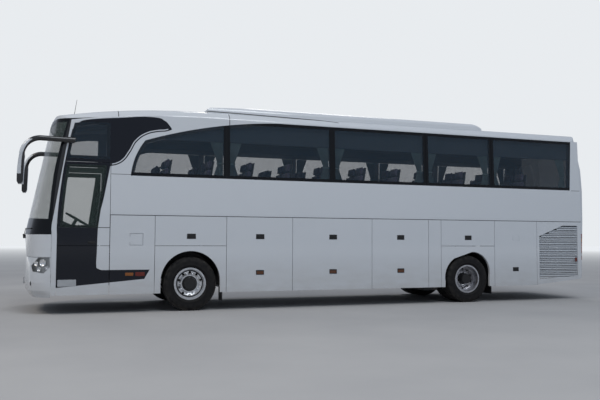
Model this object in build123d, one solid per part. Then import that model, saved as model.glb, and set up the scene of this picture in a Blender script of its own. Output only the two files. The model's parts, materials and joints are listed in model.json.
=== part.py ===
from build123d import *
import os
from math import atan2, cos, radians, sin, sqrt

# A two-axle high-deck touring coach, in millimetres.
# +X is forward, +Y is the driver's (left) side, +Z is up, and the tyres stand on z = 0.

# Overall sizes
HALF_WIDTH = 1250.0
# cutting shapes reach out to here, clear of the sides
OUT = HALF_WIDTH + 200.0
FRONT_AXLE_X = 3075.0
WHEELBASE = 6000.0
REAR_AXLE_X = FRONT_AXLE_X - WHEELBASE
FRONT_OVERHANG = 2910.0
REAR_OVERHANG = 3180.0
NOSE_X = FRONT_AXLE_X + FRONT_OVERHANG
TAIL_X = REAR_AXLE_X - REAR_OVERHANG
SKIRT_Z = 338.0
BELT_Z = 1757.0
ROOF_Z = 3800.0

# Walls and gaps
WALL = 60.0
DOOR = 54.0
GLASS = 8.0
SEAM = 8.0
TOUCH = 0.3

# The upper body leans in above the lean line
LEAN_Z = 1810.0
LEAN = 0.045


def half_width(z):
    return HALF_WIDTH - max(0.0, z - LEAN_Z) * LEAN


# Roof: a cornice arc on each side, joined by a shallow crown; it falls towards the front
CORNICE_R = 225.0
CORNICE_Y = HALF_WIDTH - 290.0
CROWN = 35.0
ROOF_FALL_X = 2900.0
ROOF_FALL_R = 13900.0
SIDE_TOP_Z = 3612.0
MID_FRONT_X = 2000.0
MID_REAR_X = -5000.0

# Nose: plan arc of the front, corner arcs and the rake of the windscreen
NOSE_R = 4500.0
NOSE_CORNER_R = 420.0
NOSE_CORNER_TOP_R = 300.0
SCREEN_RAKE = 0.2
FASCIA_TOP_Z = 1399.0
BUMPER_TOP_Z = 1000.0
UPPER_FROM_Z = 1100.0
# height, distance behind the nose
NOSE_BELOW = ((300.0, 100.0), (420.0, 20.0), (560.0, 0.0), (BUMPER_TOP_Z, 35.0), (FASCIA_TOP_Z, 0.0))

# Tail: corner radius and how far each height stands ahead of the rearmost point
TAIL_CORNER_R = 170.0
TAIL_PROFILE = ((480.0, 65.0), (LEAN_Z, 25.0), (2470.0, 0.0), (2950.0, 20.0), (3900.0, 230.0))
TAIL_SIDE_X = TAIL_X + 165.0

# Vertical seams of the lower side: the front ones as distances ahead of the front axle
PILLAR_REAR = 2358.0
DOOR_REAR = 1463.0
WHEEL_FRONT = 667.0
WHEEL_REAR = -674.0
BAY_1_END = -1997.0
PILLAR_REAR_X = FRONT_AXLE_X + PILLAR_REAR
DOOR_REAR_X = FRONT_AXLE_X + DOOR_REAR
WHEEL_FRONT_X = FRONT_AXLE_X + WHEEL_FRONT
WHEEL_REAR_X = FRONT_AXLE_X + WHEEL_REAR
BAY_1_X = FRONT_AXLE_X + BAY_1_END
# and the rest as distances ahead of the rear axle
BAY_2_END = 2289.0
BAY_3_END = 975.0
HATCH_FRONT = 673.0
HATCH_REAR = -666.0
SERVICE_END = -1783.0
BAY_2_X = REAR_AXLE_X + BAY_2_END
BAY_3_X = REAR_AXLE_X + BAY_3_END
HATCH_FRONT_X = REAR_AXLE_X + HATCH_FRONT
HATCH_REAR_X = REAR_AXLE_X + HATCH_REAR
SERVICE_X = REAR_AXLE_X + SERVICE_END
HATCH_Z = 1204.0
PILLAR_STRIP = 85.0
FLANGE = 40.0
DOOR_TOP_Z = 2691.0
DOOR_GLASS_Z = 1526.0
TAIL_SKIRT_Z = 470.0

# Window band
BAND_LOW_Z = 2476.0
BAND_TOP_Z = 3603.0
BAND_BORDER = 62.0
BAND_REAR_X = TAIL_X + 400.0
BAND_FRONT_X = FRONT_AXLE_X + 1115.0
# centre of each divider, as a distance ahead of the front axle
DIVIDERS = (-675.0, -2853.0, -4996.0, -6640.0)
DIVIDER_POST = 110.0

# Right-hand middle door
MIDDLE_DOOR_W = 740.0
MIDDLE_DOOR_X1 = BAY_3_X + MIDDLE_DOOR_W
MIDDLE_DOOR_TOP_Z = 2400.0

# Floors
DECK_Z = 1650.0
DECK_T = 60.0
PLATFORM_Z = 1050.0
BAY_FLOOR_Z = 430.0
BAY_FLOOR_T = 60.0
RAIL_Y = 430.0
RAIL_W = 80.0

# Wheels
TYRE_R = 500.0
TYRE_W = 290.0
RIM_R = 298.0
RIM_SEAT_R = 284.0
FRONT_TRACK_Y = HALF_WIDTH - 178.0
KINGPIN_Y = FRONT_TRACK_Y - 112.0
TWIN_OUTER_Y = HALF_WIDTH - 172.0
TWIN_INNER_Y = TWIN_OUTER_Y - 330.0
HAND_HOLES = 10
HUB_BORE_R = 62.0
SPINDLE_CLEAR = 0.05
AXLE_TUBE_R = 58.0
ARCH_R = 555.0
LINER_R = 596.0
LINER_T = 12.0


def block(x0, x1, y0, y1, z0, z1):
    return Pos((x0 + x1) / 2, (y0 + y1) / 2, (z0 + z1) / 2) * Box(x1 - x0, y1 - y0, z1 - z0)


def side_prism(face, y0, y1):
    # a side-view outline (x, z) carried from y1 down to y0
    return extrude(Plane.XZ.offset(-y1) * face, amount=y1 - y0)


def cross_prism(face, x0, x1):
    # a cross-section (y, z) carried from x0 to x1
    return extrude(Plane.YZ.offset(x0) * face, amount=x1 - x0)


def plan_prism(face, z0, z1):
    return extrude(Plane.XY.offset(z0) * face, amount=z1 - z0)


def outline(*points):
    return make_face(Polyline(*points, close=True))


def mirrored(part):
    return mirror(part, Plane.XZ)


def both_sides(part):
    return [part, mirrored(part)]


def solids_of(*parts):
    found = []
    for part in parts:
        if isinstance(part, (list, tuple)):
            found += solids_of(*part)
        else:
            found += list(part.solids())
    return found


def save(name, *parts):
    export_step(Compound(children=solids_of(*parts)), "parts/%s.step" % name)


def between(table, z):
    # linear value of a (height, value) table
    for (z0, v0), (z1, v1) in zip(table, table[1:]):
        if z <= z1:
            return v0 + (v1 - v0) * (z - z0) / (z1 - z0)
    return table[-1][1]


def nose_x(z):
    if z < FASCIA_TOP_Z:
        return NOSE_X - between(NOSE_BELOW, z)
    return NOSE_X - (z - FASCIA_TOP_Z) * SCREEN_RAKE


def nose_corner_r(z):
    share = max(0.0, z - FASCIA_TOP_Z) / (ROOF_Z - FASCIA_TOP_Z)
    return NOSE_CORNER_R + (NOSE_CORNER_TOP_R - NOSE_CORNER_R) * share


def front_plan(z, inset, x0):
    # plan outline of the nose at one height: side line, corner arc, front arc, corner arc, side line
    hw = half_width(z) - inset
    r = nose_corner_r(z) - inset
    big = NOSE_R - inset
    cf = nose_x(z) - NOSE_R
    yc = hw - r
    xc = cf + sqrt((big - r) ** 2 - yc ** 2)
    turn = atan2(yc, xc - cf)
    tip = (xc + r * cos(turn), yc + r * sin(turn))
    half = (turn + radians(90)) / 2
    mid = (xc + r * cos(half), yc + r * sin(half))
    edges = [
        Line((x0, -hw), (xc, -hw)),
        ThreePointArc((xc, -hw), (mid[0], -mid[1]), (tip[0], -tip[1])),
        ThreePointArc((tip[0], -tip[1]), (cf + big, 0), tip),
        ThreePointArc(tip, mid, (xc, hw)),
        Line((xc, hw), (x0, hw)),
        Line((x0, hw), (x0, -hw)),
    ]
    return Plane.XY.offset(z) * make_face(edges)


def rear_plan(z, inset, x0):
    hw = half_width(z) - inset
    xt = TAIL_X + between(TAIL_PROFILE, z) + inset
    r = TAIL_CORNER_R - inset
    k = r * (1 - sqrt(0.5))
    edges = [
        Line((x0, hw), (xt + r, hw)),
        ThreePointArc((xt + r, hw), (xt + k, hw - k), (xt, hw - r)),
        Line((xt, hw - r), (xt, r - hw)),
        ThreePointArc((xt, r - hw), (xt + k, k - hw), (xt + r, -hw)),
        Line((xt + r, -hw), (x0, -hw)),
        Line((x0, -hw), (x0, hw)),
    ]
    return Plane.XY.offset(z) * make_face(edges)


def stack(plan, heights, inset, x0):
    return loft([plan(z, inset, x0) for z in heights], ruled=True)


def roof_section(x, inset, low_z=UPPER_FROM_Z, wide=OUT - 50.0):
    # cross-section of the space under the roof at one station
    fall = max(0.0, x - ROOF_FALL_X) ** 2 / (2 * ROOF_FALL_R)
    cy = CORNICE_Y + LEAN * fall
    cz = ROOF_Z - CROWN - CORNICE_R - fall
    r = CORNICE_R - inset
    q = r * sqrt(0.5)
    edges = [
        Line((-wide, low_z), (wide, low_z)),
        Line((wide, low_z), (wide, cz)),
        Line((wide, cz), (cy + r, cz)),
        ThreePointArc((cy + r, cz), (cy + q, cz + q), (cy, cz + r)),
        ThreePointArc((cy, cz + r), (0, cz + r + CROWN), (-cy, cz + r)),
        ThreePointArc((-cy, cz + r), (-cy - q, cz + q), (-cy - r, cz)),
        Line((-cy - r, cz), (-wide, cz)),
        Line((-wide, cz), (-wide, low_z)),
    ]
    return Plane.YZ.offset(x) * make_face(edges)


def roof_front_space(inset):
    stations = (MID_FRONT_X, ROOF_FALL_X, 4100.0, 5000.0, NOSE_X + 60)
    return loft([roof_section(x, inset) for x in stations])


def brow_space(inset):
    # side view of what lies behind the windscreen's top edge
    rim = ThreePointArc(
        (NOSE_X - 345 - inset, 3180), (NOSE_X - 473 - inset, 3512 - inset), (NOSE_X - 750, 3628 - inset)
    )
    back_x = MID_FRONT_X - 50
    rest = Polyline(
        (NOSE_X - 750, 3628 - inset), (4000, ROOF_Z + 50), (back_x, ROOF_Z + 50), (back_x, UPPER_FROM_Z),
        (NOSE_X + 200, UPPER_FROM_Z), (NOSE_X + 200, 3180), (NOSE_X - 345 - inset, 3180),
    )
    return side_prism(make_face([rim] + list(rest.edges())), -OUT, OUT)


def front_body(inset, low_z=FASCIA_TOP_Z):
    body = stack(front_plan, (low_z, LEAN_Z, ROOF_Z + 50), inset, MID_FRONT_X)
    return body & roof_front_space(inset) & brow_space(inset)


def rear_body(inset, low_z=480.0):
    heights = [low_z] + [z for z, x in TAIL_PROFILE if z > low_z + 1]
    if LEAN_Z not in heights:
        heights.append(LEAN_Z)
    body = stack(rear_plan, sorted(heights), inset, MID_REAR_X)
    low = min(low_z, 1200.0) - 20
    cap = extrude(roof_section(MID_REAR_X, inset, low), amount=-(MID_REAR_X - TAIL_X + 50))
    return body & cap


# Side-view lines that several pieces share
def pillar_line(shift):
    # front edge of the side pillar, from the belt up to the roof, moved back by shift
    return ThreePointArc(
        (NOSE_X - 458 - shift, 1500), (NOSE_X - 540 - shift, 2480), (NOSE_X - 724 - shift, 3451)
    )


def ahead_of_pillar(shift):
    # side view of everything ahead of that edge
    line = pillar_line(shift)
    rest = Polyline(
        (NOSE_X - 724 - shift, 3451), (NOSE_X - 800 - shift, 3760), (NOSE_X + 300, 3760),
        (NOSE_X + 300, 200), (NOSE_X - 464 - shift, 200), (NOSE_X - 464 - shift, FASCIA_TOP_Z),
        (NOSE_X - 458 - shift, 1500),
    )
    return make_face([line] + list(rest.edges()))


def band_outline():
    edges = [
        ThreePointArc((BAND_FRONT_X, BAND_LOW_Z), (BAND_FRONT_X - 82, 2830), (BAND_FRONT_X - 255, 3138)),
        ThreePointArc((BAND_FRONT_X - 255, 3138), (2795, 3437), (1392, BAND_TOP_Z)),
        Line((1392, BAND_TOP_Z), (BAND_REAR_X - 38, BAND_TOP_Z)),
        Line((BAND_REAR_X - 38, BAND_TOP_Z), (BAND_REAR_X + 42, BAND_LOW_Z)),
        Line((BAND_REAR_X + 42, BAND_LOW_Z), (BAND_FRONT_X, BAND_LOW_Z)),
    ]
    return make_face(edges)


ROOF_SEAM = ((TAIL_X - 100, SIDE_TOP_Z), (3700, SIDE_TOP_Z), (5285, 3470), (NOSE_X + 300, 3470))


def above_roof_seam(gap=0.0):
    points = [(x, z + gap) for x, z in ROOF_SEAM] + [(NOSE_X + 300, 4000), (TAIL_X - 100, 4000)]
    return side_prism(outline(*points), -OUT, OUT)


def below_roof_seam():
    points = list(ROOF_SEAM) + [(NOSE_X + 300, 0), (TAIL_X - 100, 0)]
    return side_prism(outline(*points), -OUT, OUT)


def wall_section(z0, z1, y_out, y_in):
    # a strip of the left wall between two depths below its outer face
    heights = [z0] + ([LEAN_Z] if z0 < LEAN_Z < z1 else []) + [z1]
    outer = [(half_width(z) - y_out, z) for z in heights]
    inner = [(half_width(z) - y_in, z) for z in reversed(heights)]
    return outline(*(outer + inner))


def side_wall():
    wall = cross_prism(wall_section(BELT_Z + 4, SIDE_TOP_Z, 0, WALL), TAIL_SIDE_X, DOOR_REAR_X)
    wall &= below_roof_seam()
    skin = cross_prism(wall_section(BAND_LOW_Z - 50, SIDE_TOP_Z, -1, GLASS), TAIL_SIDE_X, DOOR_REAR_X)
    band = side_prism(band_outline(), 900, OUT - 50)
    wall -= skin & band
    holes = side_prism(offset(band_outline(), amount=-BAND_BORDER, kind=Kind.INTERSECTION), 900, OUT - 50)
    for d in DIVIDERS:
        x = FRONT_AXLE_X + d
        holes -= block(x - DIVIDER_POST / 2, x + DIVIDER_POST / 2, 850, OUT, 2400, 3700)
    return wall - holes


def side_panes():
    skin = cross_prism(wall_section(BAND_LOW_Z - 50, SIDE_TOP_Z, 0, GLASS), TAIL_SIDE_X, DOOR_REAR_X)
    panes = skin & side_prism(band_outline(), 900, OUT - 50)
    for d in DIVIDERS:
        x = FRONT_AXLE_X + d
        panes -= block(x - 4, x + 4, 850, OUT, 2400, 3700)
    return panes


def roof_length(inset):
    # the straight middle of the roof
    return extrude(roof_section(MID_REAR_X, inset), amount=MID_FRONT_X - MID_REAR_X)


def build_upper_body():
    outer = front_body(0)
    shell = outer - front_body(WALL, FASCIA_TOP_Z - 30)
    glass_skin = outer - front_body(GLASS + 2, FASCIA_TOP_Z - 30)
    seam = above_roof_seam()
    below = below_roof_seam()
    far = NOSE_X + 400
    # windscreen: the skin ahead of the pillars
    screen = glass_skin & side_prism(ahead_of_pillar(-3), -OUT, OUT) & below
    screen &= block(MID_FRONT_X, far, -OUT, OUT, FASCIA_TOP_Z + 4, 3466)
    save("windscreen", screen)
    # the frame that the glass is bonded to, behind its edge
    bond = front_body(GLASS + 2, FASCIA_TOP_Z - 30) - front_body(WALL, FASCIA_TOP_Z - 40)
    # pillars: the side shell between the windscreen and the first side window
    keep = block(DOOR_REAR_X, far, 200, OUT, FASCIA_TOP_Z, 3700)
    ring = shell & keep & below
    ring -= side_prism(ahead_of_pillar(0), 100, OUT)
    rebate = side_prism(ahead_of_pillar(0), 100, OUT) - side_prism(ahead_of_pillar(-FLANGE), 90, OUT + 10)
    ring += bond & rebate & block(MID_FRONT_X, far, 200, OUT, FASCIA_TOP_Z + 4, 3470) & below
    lower = wall_section(SKIRT_Z, FASCIA_TOP_Z, 0, WALL)
    ring += cross_prism(lower, NOSE_X - 464 - PILLAR_STRIP, NOSE_X - 464)
    opening = side_prism(ahead_of_pillar(PILLAR_STRIP), 100, OUT)
    hole = block(DOOR_REAR_X - 10, far, 100, OUT, 300, DOOR_TOP_Z + SEAM) - opening
    ring -= hole
    # upper quarter window above the door
    pane_zone = block(DOOR_REAR_X + 20, far, 100, OUT, DOOR_TOP_Z + 60, 3428)
    pane_zone -= side_prism(ahead_of_pillar(PILLAR_STRIP + 12), 90, OUT + 10)
    pane_zone &= side_prism(
        outline((DOOR_REAR_X, 2600), (DOOR_REAR_X, 3480), (5250, 3380), (5600, 2600)), 100, OUT
    )
    quarter_hole = block(DOOR_REAR_X + 80, far, 100, OUT, DOOR_TOP_Z + 120, 3380)
    quarter_hole -= side_prism(ahead_of_pillar(PILLAR_STRIP + 60), 90, OUT + 10)
    quarter_hole &= side_prism(
        outline((DOOR_REAR_X, 2600), (DOOR_REAR_X, 3425), (5190, 3325), (5600, 2600)), 100, OUT
    )
    quarter_skin = outer - front_body(GLASS, FASCIA_TOP_Z - 30)
    quarter_pane = quarter_skin & pane_zone
    ring -= quarter_pane
    ring -= quarter_hole
    save("front_pillars", both_sides(ring))
    # side walls and their glass
    wall = side_wall()
    save("left_side_wall", wall)
    doorway = block(
        BAY_3_X - SEAM / 2, MIDDLE_DOOR_X1 + SEAM / 2, 50 - OUT, -900,
        BELT_Z - 10, MIDDLE_DOOR_TOP_Z + SEAM / 2,
    )
    save("right_side_wall", mirrored(wall) - doorway)
    panes = side_panes()
    save("side_glass", both_sides(panes), both_sides(quarter_pane))
    # roof in three lengths joined into one shell
    mid = roof_length(0) - roof_length(WALL)
    side_limit = cross_prism(wall_limit(), MID_REAR_X, MID_FRONT_X)
    mid &= side_limit
    rear = rear_body(0) - rear_body(WALL, 450)
    brow = bond & side_prism(ahead_of_pillar(-FLANGE - 1), -OUT, OUT)
    brow &= block(MID_FRONT_X, far, -OUT, OUT, 3470 - FLANGE, 3470)
    roof = (shell & seam) + (mid & seam) + (rear & seam) + brow
    save("roof_shell", roof)
    return rear


def wall_limit():
    # full cross-section inside the leaning side walls
    zs = (3000.0, 3900.0)
    left = [(half_width(z), z) for z in zs]
    right = [(-y, z) for y, z in reversed(left)]
    return outline(*(left + right))


def build_tail(rear):
    lid_w = HALF_WIDTH - 250.0
    window_w = HALF_WIDTH - 230.0
    body = rear & below_roof_seam() & block(TAIL_X - 100, TAIL_SIDE_X, -OUT, OUT, 400, 3700)
    lid_hole = block(TAIL_X - 200, TAIL_SIDE_X - 105, -lid_w, lid_w, 700, 1700)
    pane_face = Plane.YZ * RectangleRounded(2 * window_w, 980, 90)
    hole_face = Plane.YZ * RectangleRounded(2 * window_w - 120, 860, 60)
    pane_tool = Pos(TAIL_X - 100, 0, 2990) * extrude(pane_face, amount=330)
    hole_tool = Pos(TAIL_X - 100, 0, 2990) * extrude(hole_face, amount=330)
    skin = rear_body(0) - rear_body(GLASS, 450)
    pane = skin & pane_tool
    body = body - pane - hole_tool
    lid_zone = block(TAIL_X - 200, TAIL_SIDE_X - 105, -lid_w + 6, lid_w - 6, 706, 1694)
    door_skin = rear_body(0) - rear_body(DOOR - 2, 450)
    lid = door_skin & lid_zone
    edge_x = TAIL_X + between(TAIL_PROFILE, 1700.0)
    for y in (-600, 0, 600):
        lid += block(edge_x + 1, edge_x + 11, y - 50, y + 50, 1690, 1700 - TOUCH)
    body -= lid_hole
    lamp_zone = block(TAIL_X - 100, TAIL_X + 160, HALF_WIDTH - 205, OUT - 50, 890, 1480)
    lamp = (rear_body(0) - rear_body(40, 450)) & lamp_zone
    body -= lamp_zone & (rear_body(-1, 479) - rear_body(40, 450))
    body -= mirrored(lamp_zone & (rear_body(-1, 479) - rear_body(40, 450)))
    save("rear_wall", body)
    save("rear_window", pane)
    save("engine_lid", lid)
    return both_sides(lamp)


def build_nose():
    low = (300.0, 420.0, 560.0, BUMPER_TOP_Z - 3)
    low_inner = (299.0, 420.0, 560.0, BUMPER_TOP_Z)
    high = (BUMPER_TOP_Z + 3, FASCIA_TOP_Z)
    high_inner = (BUMPER_TOP_Z, FASCIA_TOP_Z + 1)
    x0 = NOSE_X - 700
    cut = NOSE_X - 460
    ahead = block(cut, NOSE_X + 50, -OUT, OUT, 250, FASCIA_TOP_Z + 51)
    bumper = stack(front_plan, low, 0, x0) - stack(front_plan, low_inner, WALL, x0 - 1)
    bumper &= ahead
    fascia = stack(front_plan, high, 0, x0) - stack(front_plan, high_inner, WALL, x0 - 1)
    fascia &= ahead
    lamp_view = outline(
        (NOSE_X - 256, BUMPER_TOP_Z - 4), (NOSE_X - 440, BUMPER_TOP_Z - 4), (NOSE_X - 448, 833),
        (NOSE_X - 344, 722), (NOSE_X - 165, 752), (NOSE_X - 140, 850),
    )
    zone = side_prism(lamp_view, 700, OUT - 50)
    lamp_body = stack(front_plan, low, 0, x0) - stack(front_plan, low_inner, 52, x0 - 1)
    lamp = lamp_body & zone & ahead
    bumper = bumper - zone - mirrored(zone)
    bumper -= Pos(NOSE_X - 60, TOW_Y, TOW_Z) * Rot(0, 90, 0) * Cylinder(48, 300)
    save("front_bumper", bumper)
    save("front_fascia", fascia)
    return both_sides(lamp)


def nose_band(z0, z1, outer, inner):
    # a strip that follows the nose between two distances outside its surface
    x0 = NOSE_X - 700
    return stack(front_plan, (z0, z1), -outer, x0) - stack(front_plan, (z0 - 1, z1 + 1), -inner, x0 - 1)


def build_wipers():
    # each blade lies along the glass; its stem stands on a pad on the panel below
    z_blade = 1500.0
    blades = []
    for y0, y1, post in ((80, 980, 160), (-860, 20, -780)):
        reach = block(NOSE_X - 400, NOSE_X + 80, y0, y1, 1300, 1600)
        column = block(NOSE_X - 400, NOSE_X + 80, post - 14, post + 14, 1300, 1600)
        blade = nose_band(z_blade, z_blade + 14, 20, 6) & reach
        stem = nose_band(FASCIA_TOP_Z + 1, z_blade + 7, 18, 8) & column
        x0 = NOSE_X - 700
        pad = stack(front_plan, (FASCIA_TOP_Z - 70, FASCIA_TOP_Z, FASCIA_TOP_Z + 10), -38, x0)
        pad -= stack(front_plan, (FASCIA_TOP_Z - 71, FASCIA_TOP_Z, FASCIA_TOP_Z + 11), -TOUCH, x0 - 1)
        blades.append(blade + stem + (pad & column))
    return blades


def skirt_panel(x0, x1, z0, z1):
    return cross_prism(wall_section(z0, z1, 0, WALL), x0 + SEAM / 2, x1 - SEAM / 2)


def front_arch_cut():
    face = make_face([
        Line((FRONT_AXLE_X - ARCH_R, 200), (FRONT_AXLE_X + ARCH_R, 200)),
        Line((FRONT_AXLE_X + ARCH_R, 200), (FRONT_AXLE_X + ARCH_R, 552)),
        ThreePointArc(
            (FRONT_AXLE_X + ARCH_R, 552), (FRONT_AXLE_X, 552 + ARCH_R), (FRONT_AXLE_X - ARCH_R, 552)
        ),
        Line((FRONT_AXLE_X - ARCH_R, 552), (FRONT_AXLE_X - ARCH_R, 200)),
    ])
    return side_prism(face, 900, OUT - 50)


def rear_arch_cut():
    x = REAR_AXLE_X
    face = make_face([
        Line((x - 532, 200), (x + 584, 200)),
        Line((x + 584, 200), (x + 570, 450)),
        ThreePointArc((x + 570, 450), (x + 500, 800), (x + 345, 942)),
        Line((x + 345, 942), (x - 90, 1076)),
        ThreePointArc((x - 90, 1076), (x - 350, 1000), (x - 532, 560)),
        Line((x - 532, 560), (x - 532, 200)),
    ])
    return side_prism(face, 900, OUT - 50)


FUEL_FLAP = (FRONT_AXLE_X + 880.0, FRONT_AXLE_X + 1115.0, 1213.0, 1430.0)


def build_skirts():
    x0, x1, z0, z1 = FUEL_FLAP
    pieces = []
    front = skirt_panel(WHEEL_FRONT_X, DOOR_REAR_X, SKIRT_Z, BELT_Z - 4)
    recess = block(x0, x1, HALF_WIDTH - 30, HALF_WIDTH + 10, z0, z1)
    pieces.append(front - recess)
    pieces.append(skirt_panel(WHEEL_REAR_X, WHEEL_FRONT_X, SKIRT_Z, HATCH_Z - 4) - front_arch_cut())
    pieces.append(skirt_panel(HATCH_FRONT_X, BAY_3_X, SKIRT_Z, BELT_Z - 4))
    pieces.append(skirt_panel(HATCH_REAR_X, HATCH_FRONT_X, SKIRT_Z, HATCH_Z - 4) - rear_arch_cut())
    right = [mirrored(p) for p in pieces]
    right[0] = mirrored(front)
    right.append(mirrored(skirt_panel(MIDDLE_DOOR_X1, BAY_2_X, SKIRT_Z, BELT_Z - 4)))
    save("skirt_panels", pieces, right)
    lid = block(x0 + 7, x1 - 7, HALF_WIDTH - 24, HALF_WIDTH, z0 + 7, z1 - 7)
    lid += block(x1 - 8, x1 - TOUCH, HALF_WIDTH - 8, HALF_WIDTH, z0 + 60, z1 - 60)
    save("fuel_flap", lid)


# Flaps of the lower side: name, rear seam, front seam, lower edge, sides that have it
FLAPS = (
    ("luggage_door_1", BAY_1_X, WHEEL_REAR_X, SKIRT_Z, "lr"),
    ("luggage_door_2", BAY_2_X, BAY_1_X, SKIRT_Z, "lr"),
    ("luggage_door_3", BAY_3_X, BAY_2_X, SKIRT_Z, "l"),
    ("front_wheel_hatch", WHEEL_REAR_X, WHEEL_FRONT_X, HATCH_Z + 4, "lr"),
    ("rear_wheel_hatch", HATCH_REAR_X, HATCH_FRONT_X, HATCH_Z + 4, "lr"),
    ("service_door", SERVICE_X, HATCH_REAR_X, SKIRT_Z, "lr"),
)
HANDLE_L = 170.0
HANDLE_H = 100.0
HANDLE_Z = 1380.0


def door_leaf(x0, x1, z0, z1, thick=DOOR):
    return cross_prism(wall_section(z0, z1, 0, thick), x0 + SEAM / 2, x1 - SEAM / 2)


def hinge_lug(x):
    # the knuckle of a top hinge, just under the waist rail's lower edge
    return block(x - 40, x + 40, HALF_WIDTH - 10, HALF_WIDTH, BELT_Z - 8, BELT_Z + 4 - TOUCH)


def flap(x0, x1, z0):
    leaf = door_leaf(x0, x1, z0, BELT_Z - 4)
    # ribbed inner skin: a shallow recess leaves the frame all round
    rim = 70.0
    hollow = block(x0 + rim, x1 - rim, HALF_WIDTH - DOOR - 1, HALF_WIDTH - 22, z0 + rim, BELT_Z - rim)
    ribs = []
    bays = max(1, round((x1 - x0) / 450.0))
    for i in range(1, bays):
        x = x0 + (x1 - x0) * i / bays
        ribs.append(block(x - 20, x + 20, HALF_WIDTH - DOOR, HALF_WIDTH - 20, z0 + rim / 2, BELT_Z - rim / 2))
    leaf -= hollow
    for rib in ribs:
        leaf += rib
    # handle: a shallow dish with a grip bar
    xm = (x0 + x1) / 2
    z = HANDLE_Z
    h0, h1 = xm - HANDLE_L / 2, xm + HANDLE_L / 2
    dish = block(h0, h1, HALF_WIDTH - 16, HALF_WIDTH + 5, z - HANDLE_H / 2, z + HANDLE_H / 2)
    bar = block(h0, h1, HALF_WIDTH - 16, HALF_WIDTH - 2, z + 5, z + HANDLE_H / 2 - 8)
    leaf = leaf - dish + bar
    for x in (x0 + 120, xm, x1 - 120):
        leaf += hinge_lug(x)
    return leaf


def build_flaps():
    for name, x0, x1, z0, sides in FLAPS:
        leaf = flap(x0, x1, z0)
        if "l" in sides:
            save("left_" + name, leaf)
        if "r" in sides:
            save("right_" + name, mirrored(leaf))


SLATS = 15
SLAT_T = 7.0
SLAT_DEPTH = 46.0


def louvred_door():
    # engine side door: its lower edge rises towards the tail, and slats fill the cut-out
    leaf = door_leaf(TAIL_SIDE_X, SERVICE_X, SKIRT_Z, BELT_Z - 4)
    leaf &= side_prism(
        outline(
            (TAIL_SIDE_X - 10, TAIL_SKIRT_Z), (SERVICE_X + 10, SKIRT_Z + 8),
            (SERVICE_X + 10, 1900), (TAIL_SIDE_X - 10, 1900),
        ),
        900, OUT - 50,
    )
    x_front = SERVICE_X - 66
    x_rear = TAIL_SIDE_X + 100
    z_low, z_high = 470.0, 1668.0
    view = outline(
        (x_rear, z_low + 60), (x_front, z_low), (x_front, z_high - 240), (x_front - 640, z_high),
        (x_rear, z_high),
    )
    window = side_prism(view, 1100, OUT - 50)
    leaf -= window
    pitch = (z_high - z_low) / SLATS
    slat = Rot(-35, 0, 0) * Box(x_front - x_rear, SLAT_DEPTH, SLAT_T)
    slats = []
    for i in range(SLATS):
        z = z_low + pitch * (i + 0.5)
        slats.append(Pos((x_front + x_rear) / 2, HALF_WIDTH - DOOR / 2, z) * slat)
    xm = (x_front + x_rear) / 2
    post = block(xm - 12, xm + 12, HALF_WIDTH - DOOR, HALF_WIDTH - DOOR + 14, z_low - 20, z_high + 20)
    grown = side_prism(offset(view, amount=3, kind=Kind.INTERSECTION), 1100, OUT - 50)
    for s in slats + [post]:
        leaf += s & grown
    for x in (SERVICE_X - 120, TAIL_SIDE_X + 120):
        leaf += hinge_lug(x)
    return leaf


def build_driver_door():
    upper = front_body(0, HATCH_Z + 4) - front_body(DOOR, HATCH_Z - 30)
    zone = block(DOOR_REAR_X + SEAM, NOSE_X, 200, OUT, HATCH_Z + 4, DOOR_TOP_Z)
    zone -= side_prism(ahead_of_pillar(PILLAR_STRIP + SEAM), 100, OUT + 10)
    leaf = upper & zone
    inner_zone = block(DOOR_REAR_X + SEAM, NOSE_X, 150, OUT + 10, DOOR_GLASS_Z, DOOR_TOP_Z - 45)
    inner_zone -= side_prism(ahead_of_pillar(PILLAR_STRIP + 50), 100, OUT + 20)
    rear_edge = outline(
        (DOOR_REAR_X + 210, DOOR_GLASS_Z - 10), (DOOR_REAR_X + 60, DOOR_TOP_Z), (NOSE_X, DOOR_TOP_Z),
        (NOSE_X, DOOR_GLASS_Z - 10),
    )
    inner_zone &= side_prism(rear_edge, 100, OUT + 10)
    skin = front_body(0, HATCH_Z + 4) - front_body(GLASS, HATCH_Z - 30)
    pane = skin & inner_zone
    hole_zone = block(DOOR_REAR_X, NOSE_X, 150, OUT + 10, DOOR_GLASS_Z + 40, DOOR_TOP_Z - 90)
    hole_zone -= side_prism(ahead_of_pillar(PILLAR_STRIP + 95), 100, OUT + 20)
    hole_zone &= side_prism(Pos(45, 0) * rear_edge, 100, OUT + 10)
    leaf = leaf - pane - hole_zone
    return leaf, pane


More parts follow.
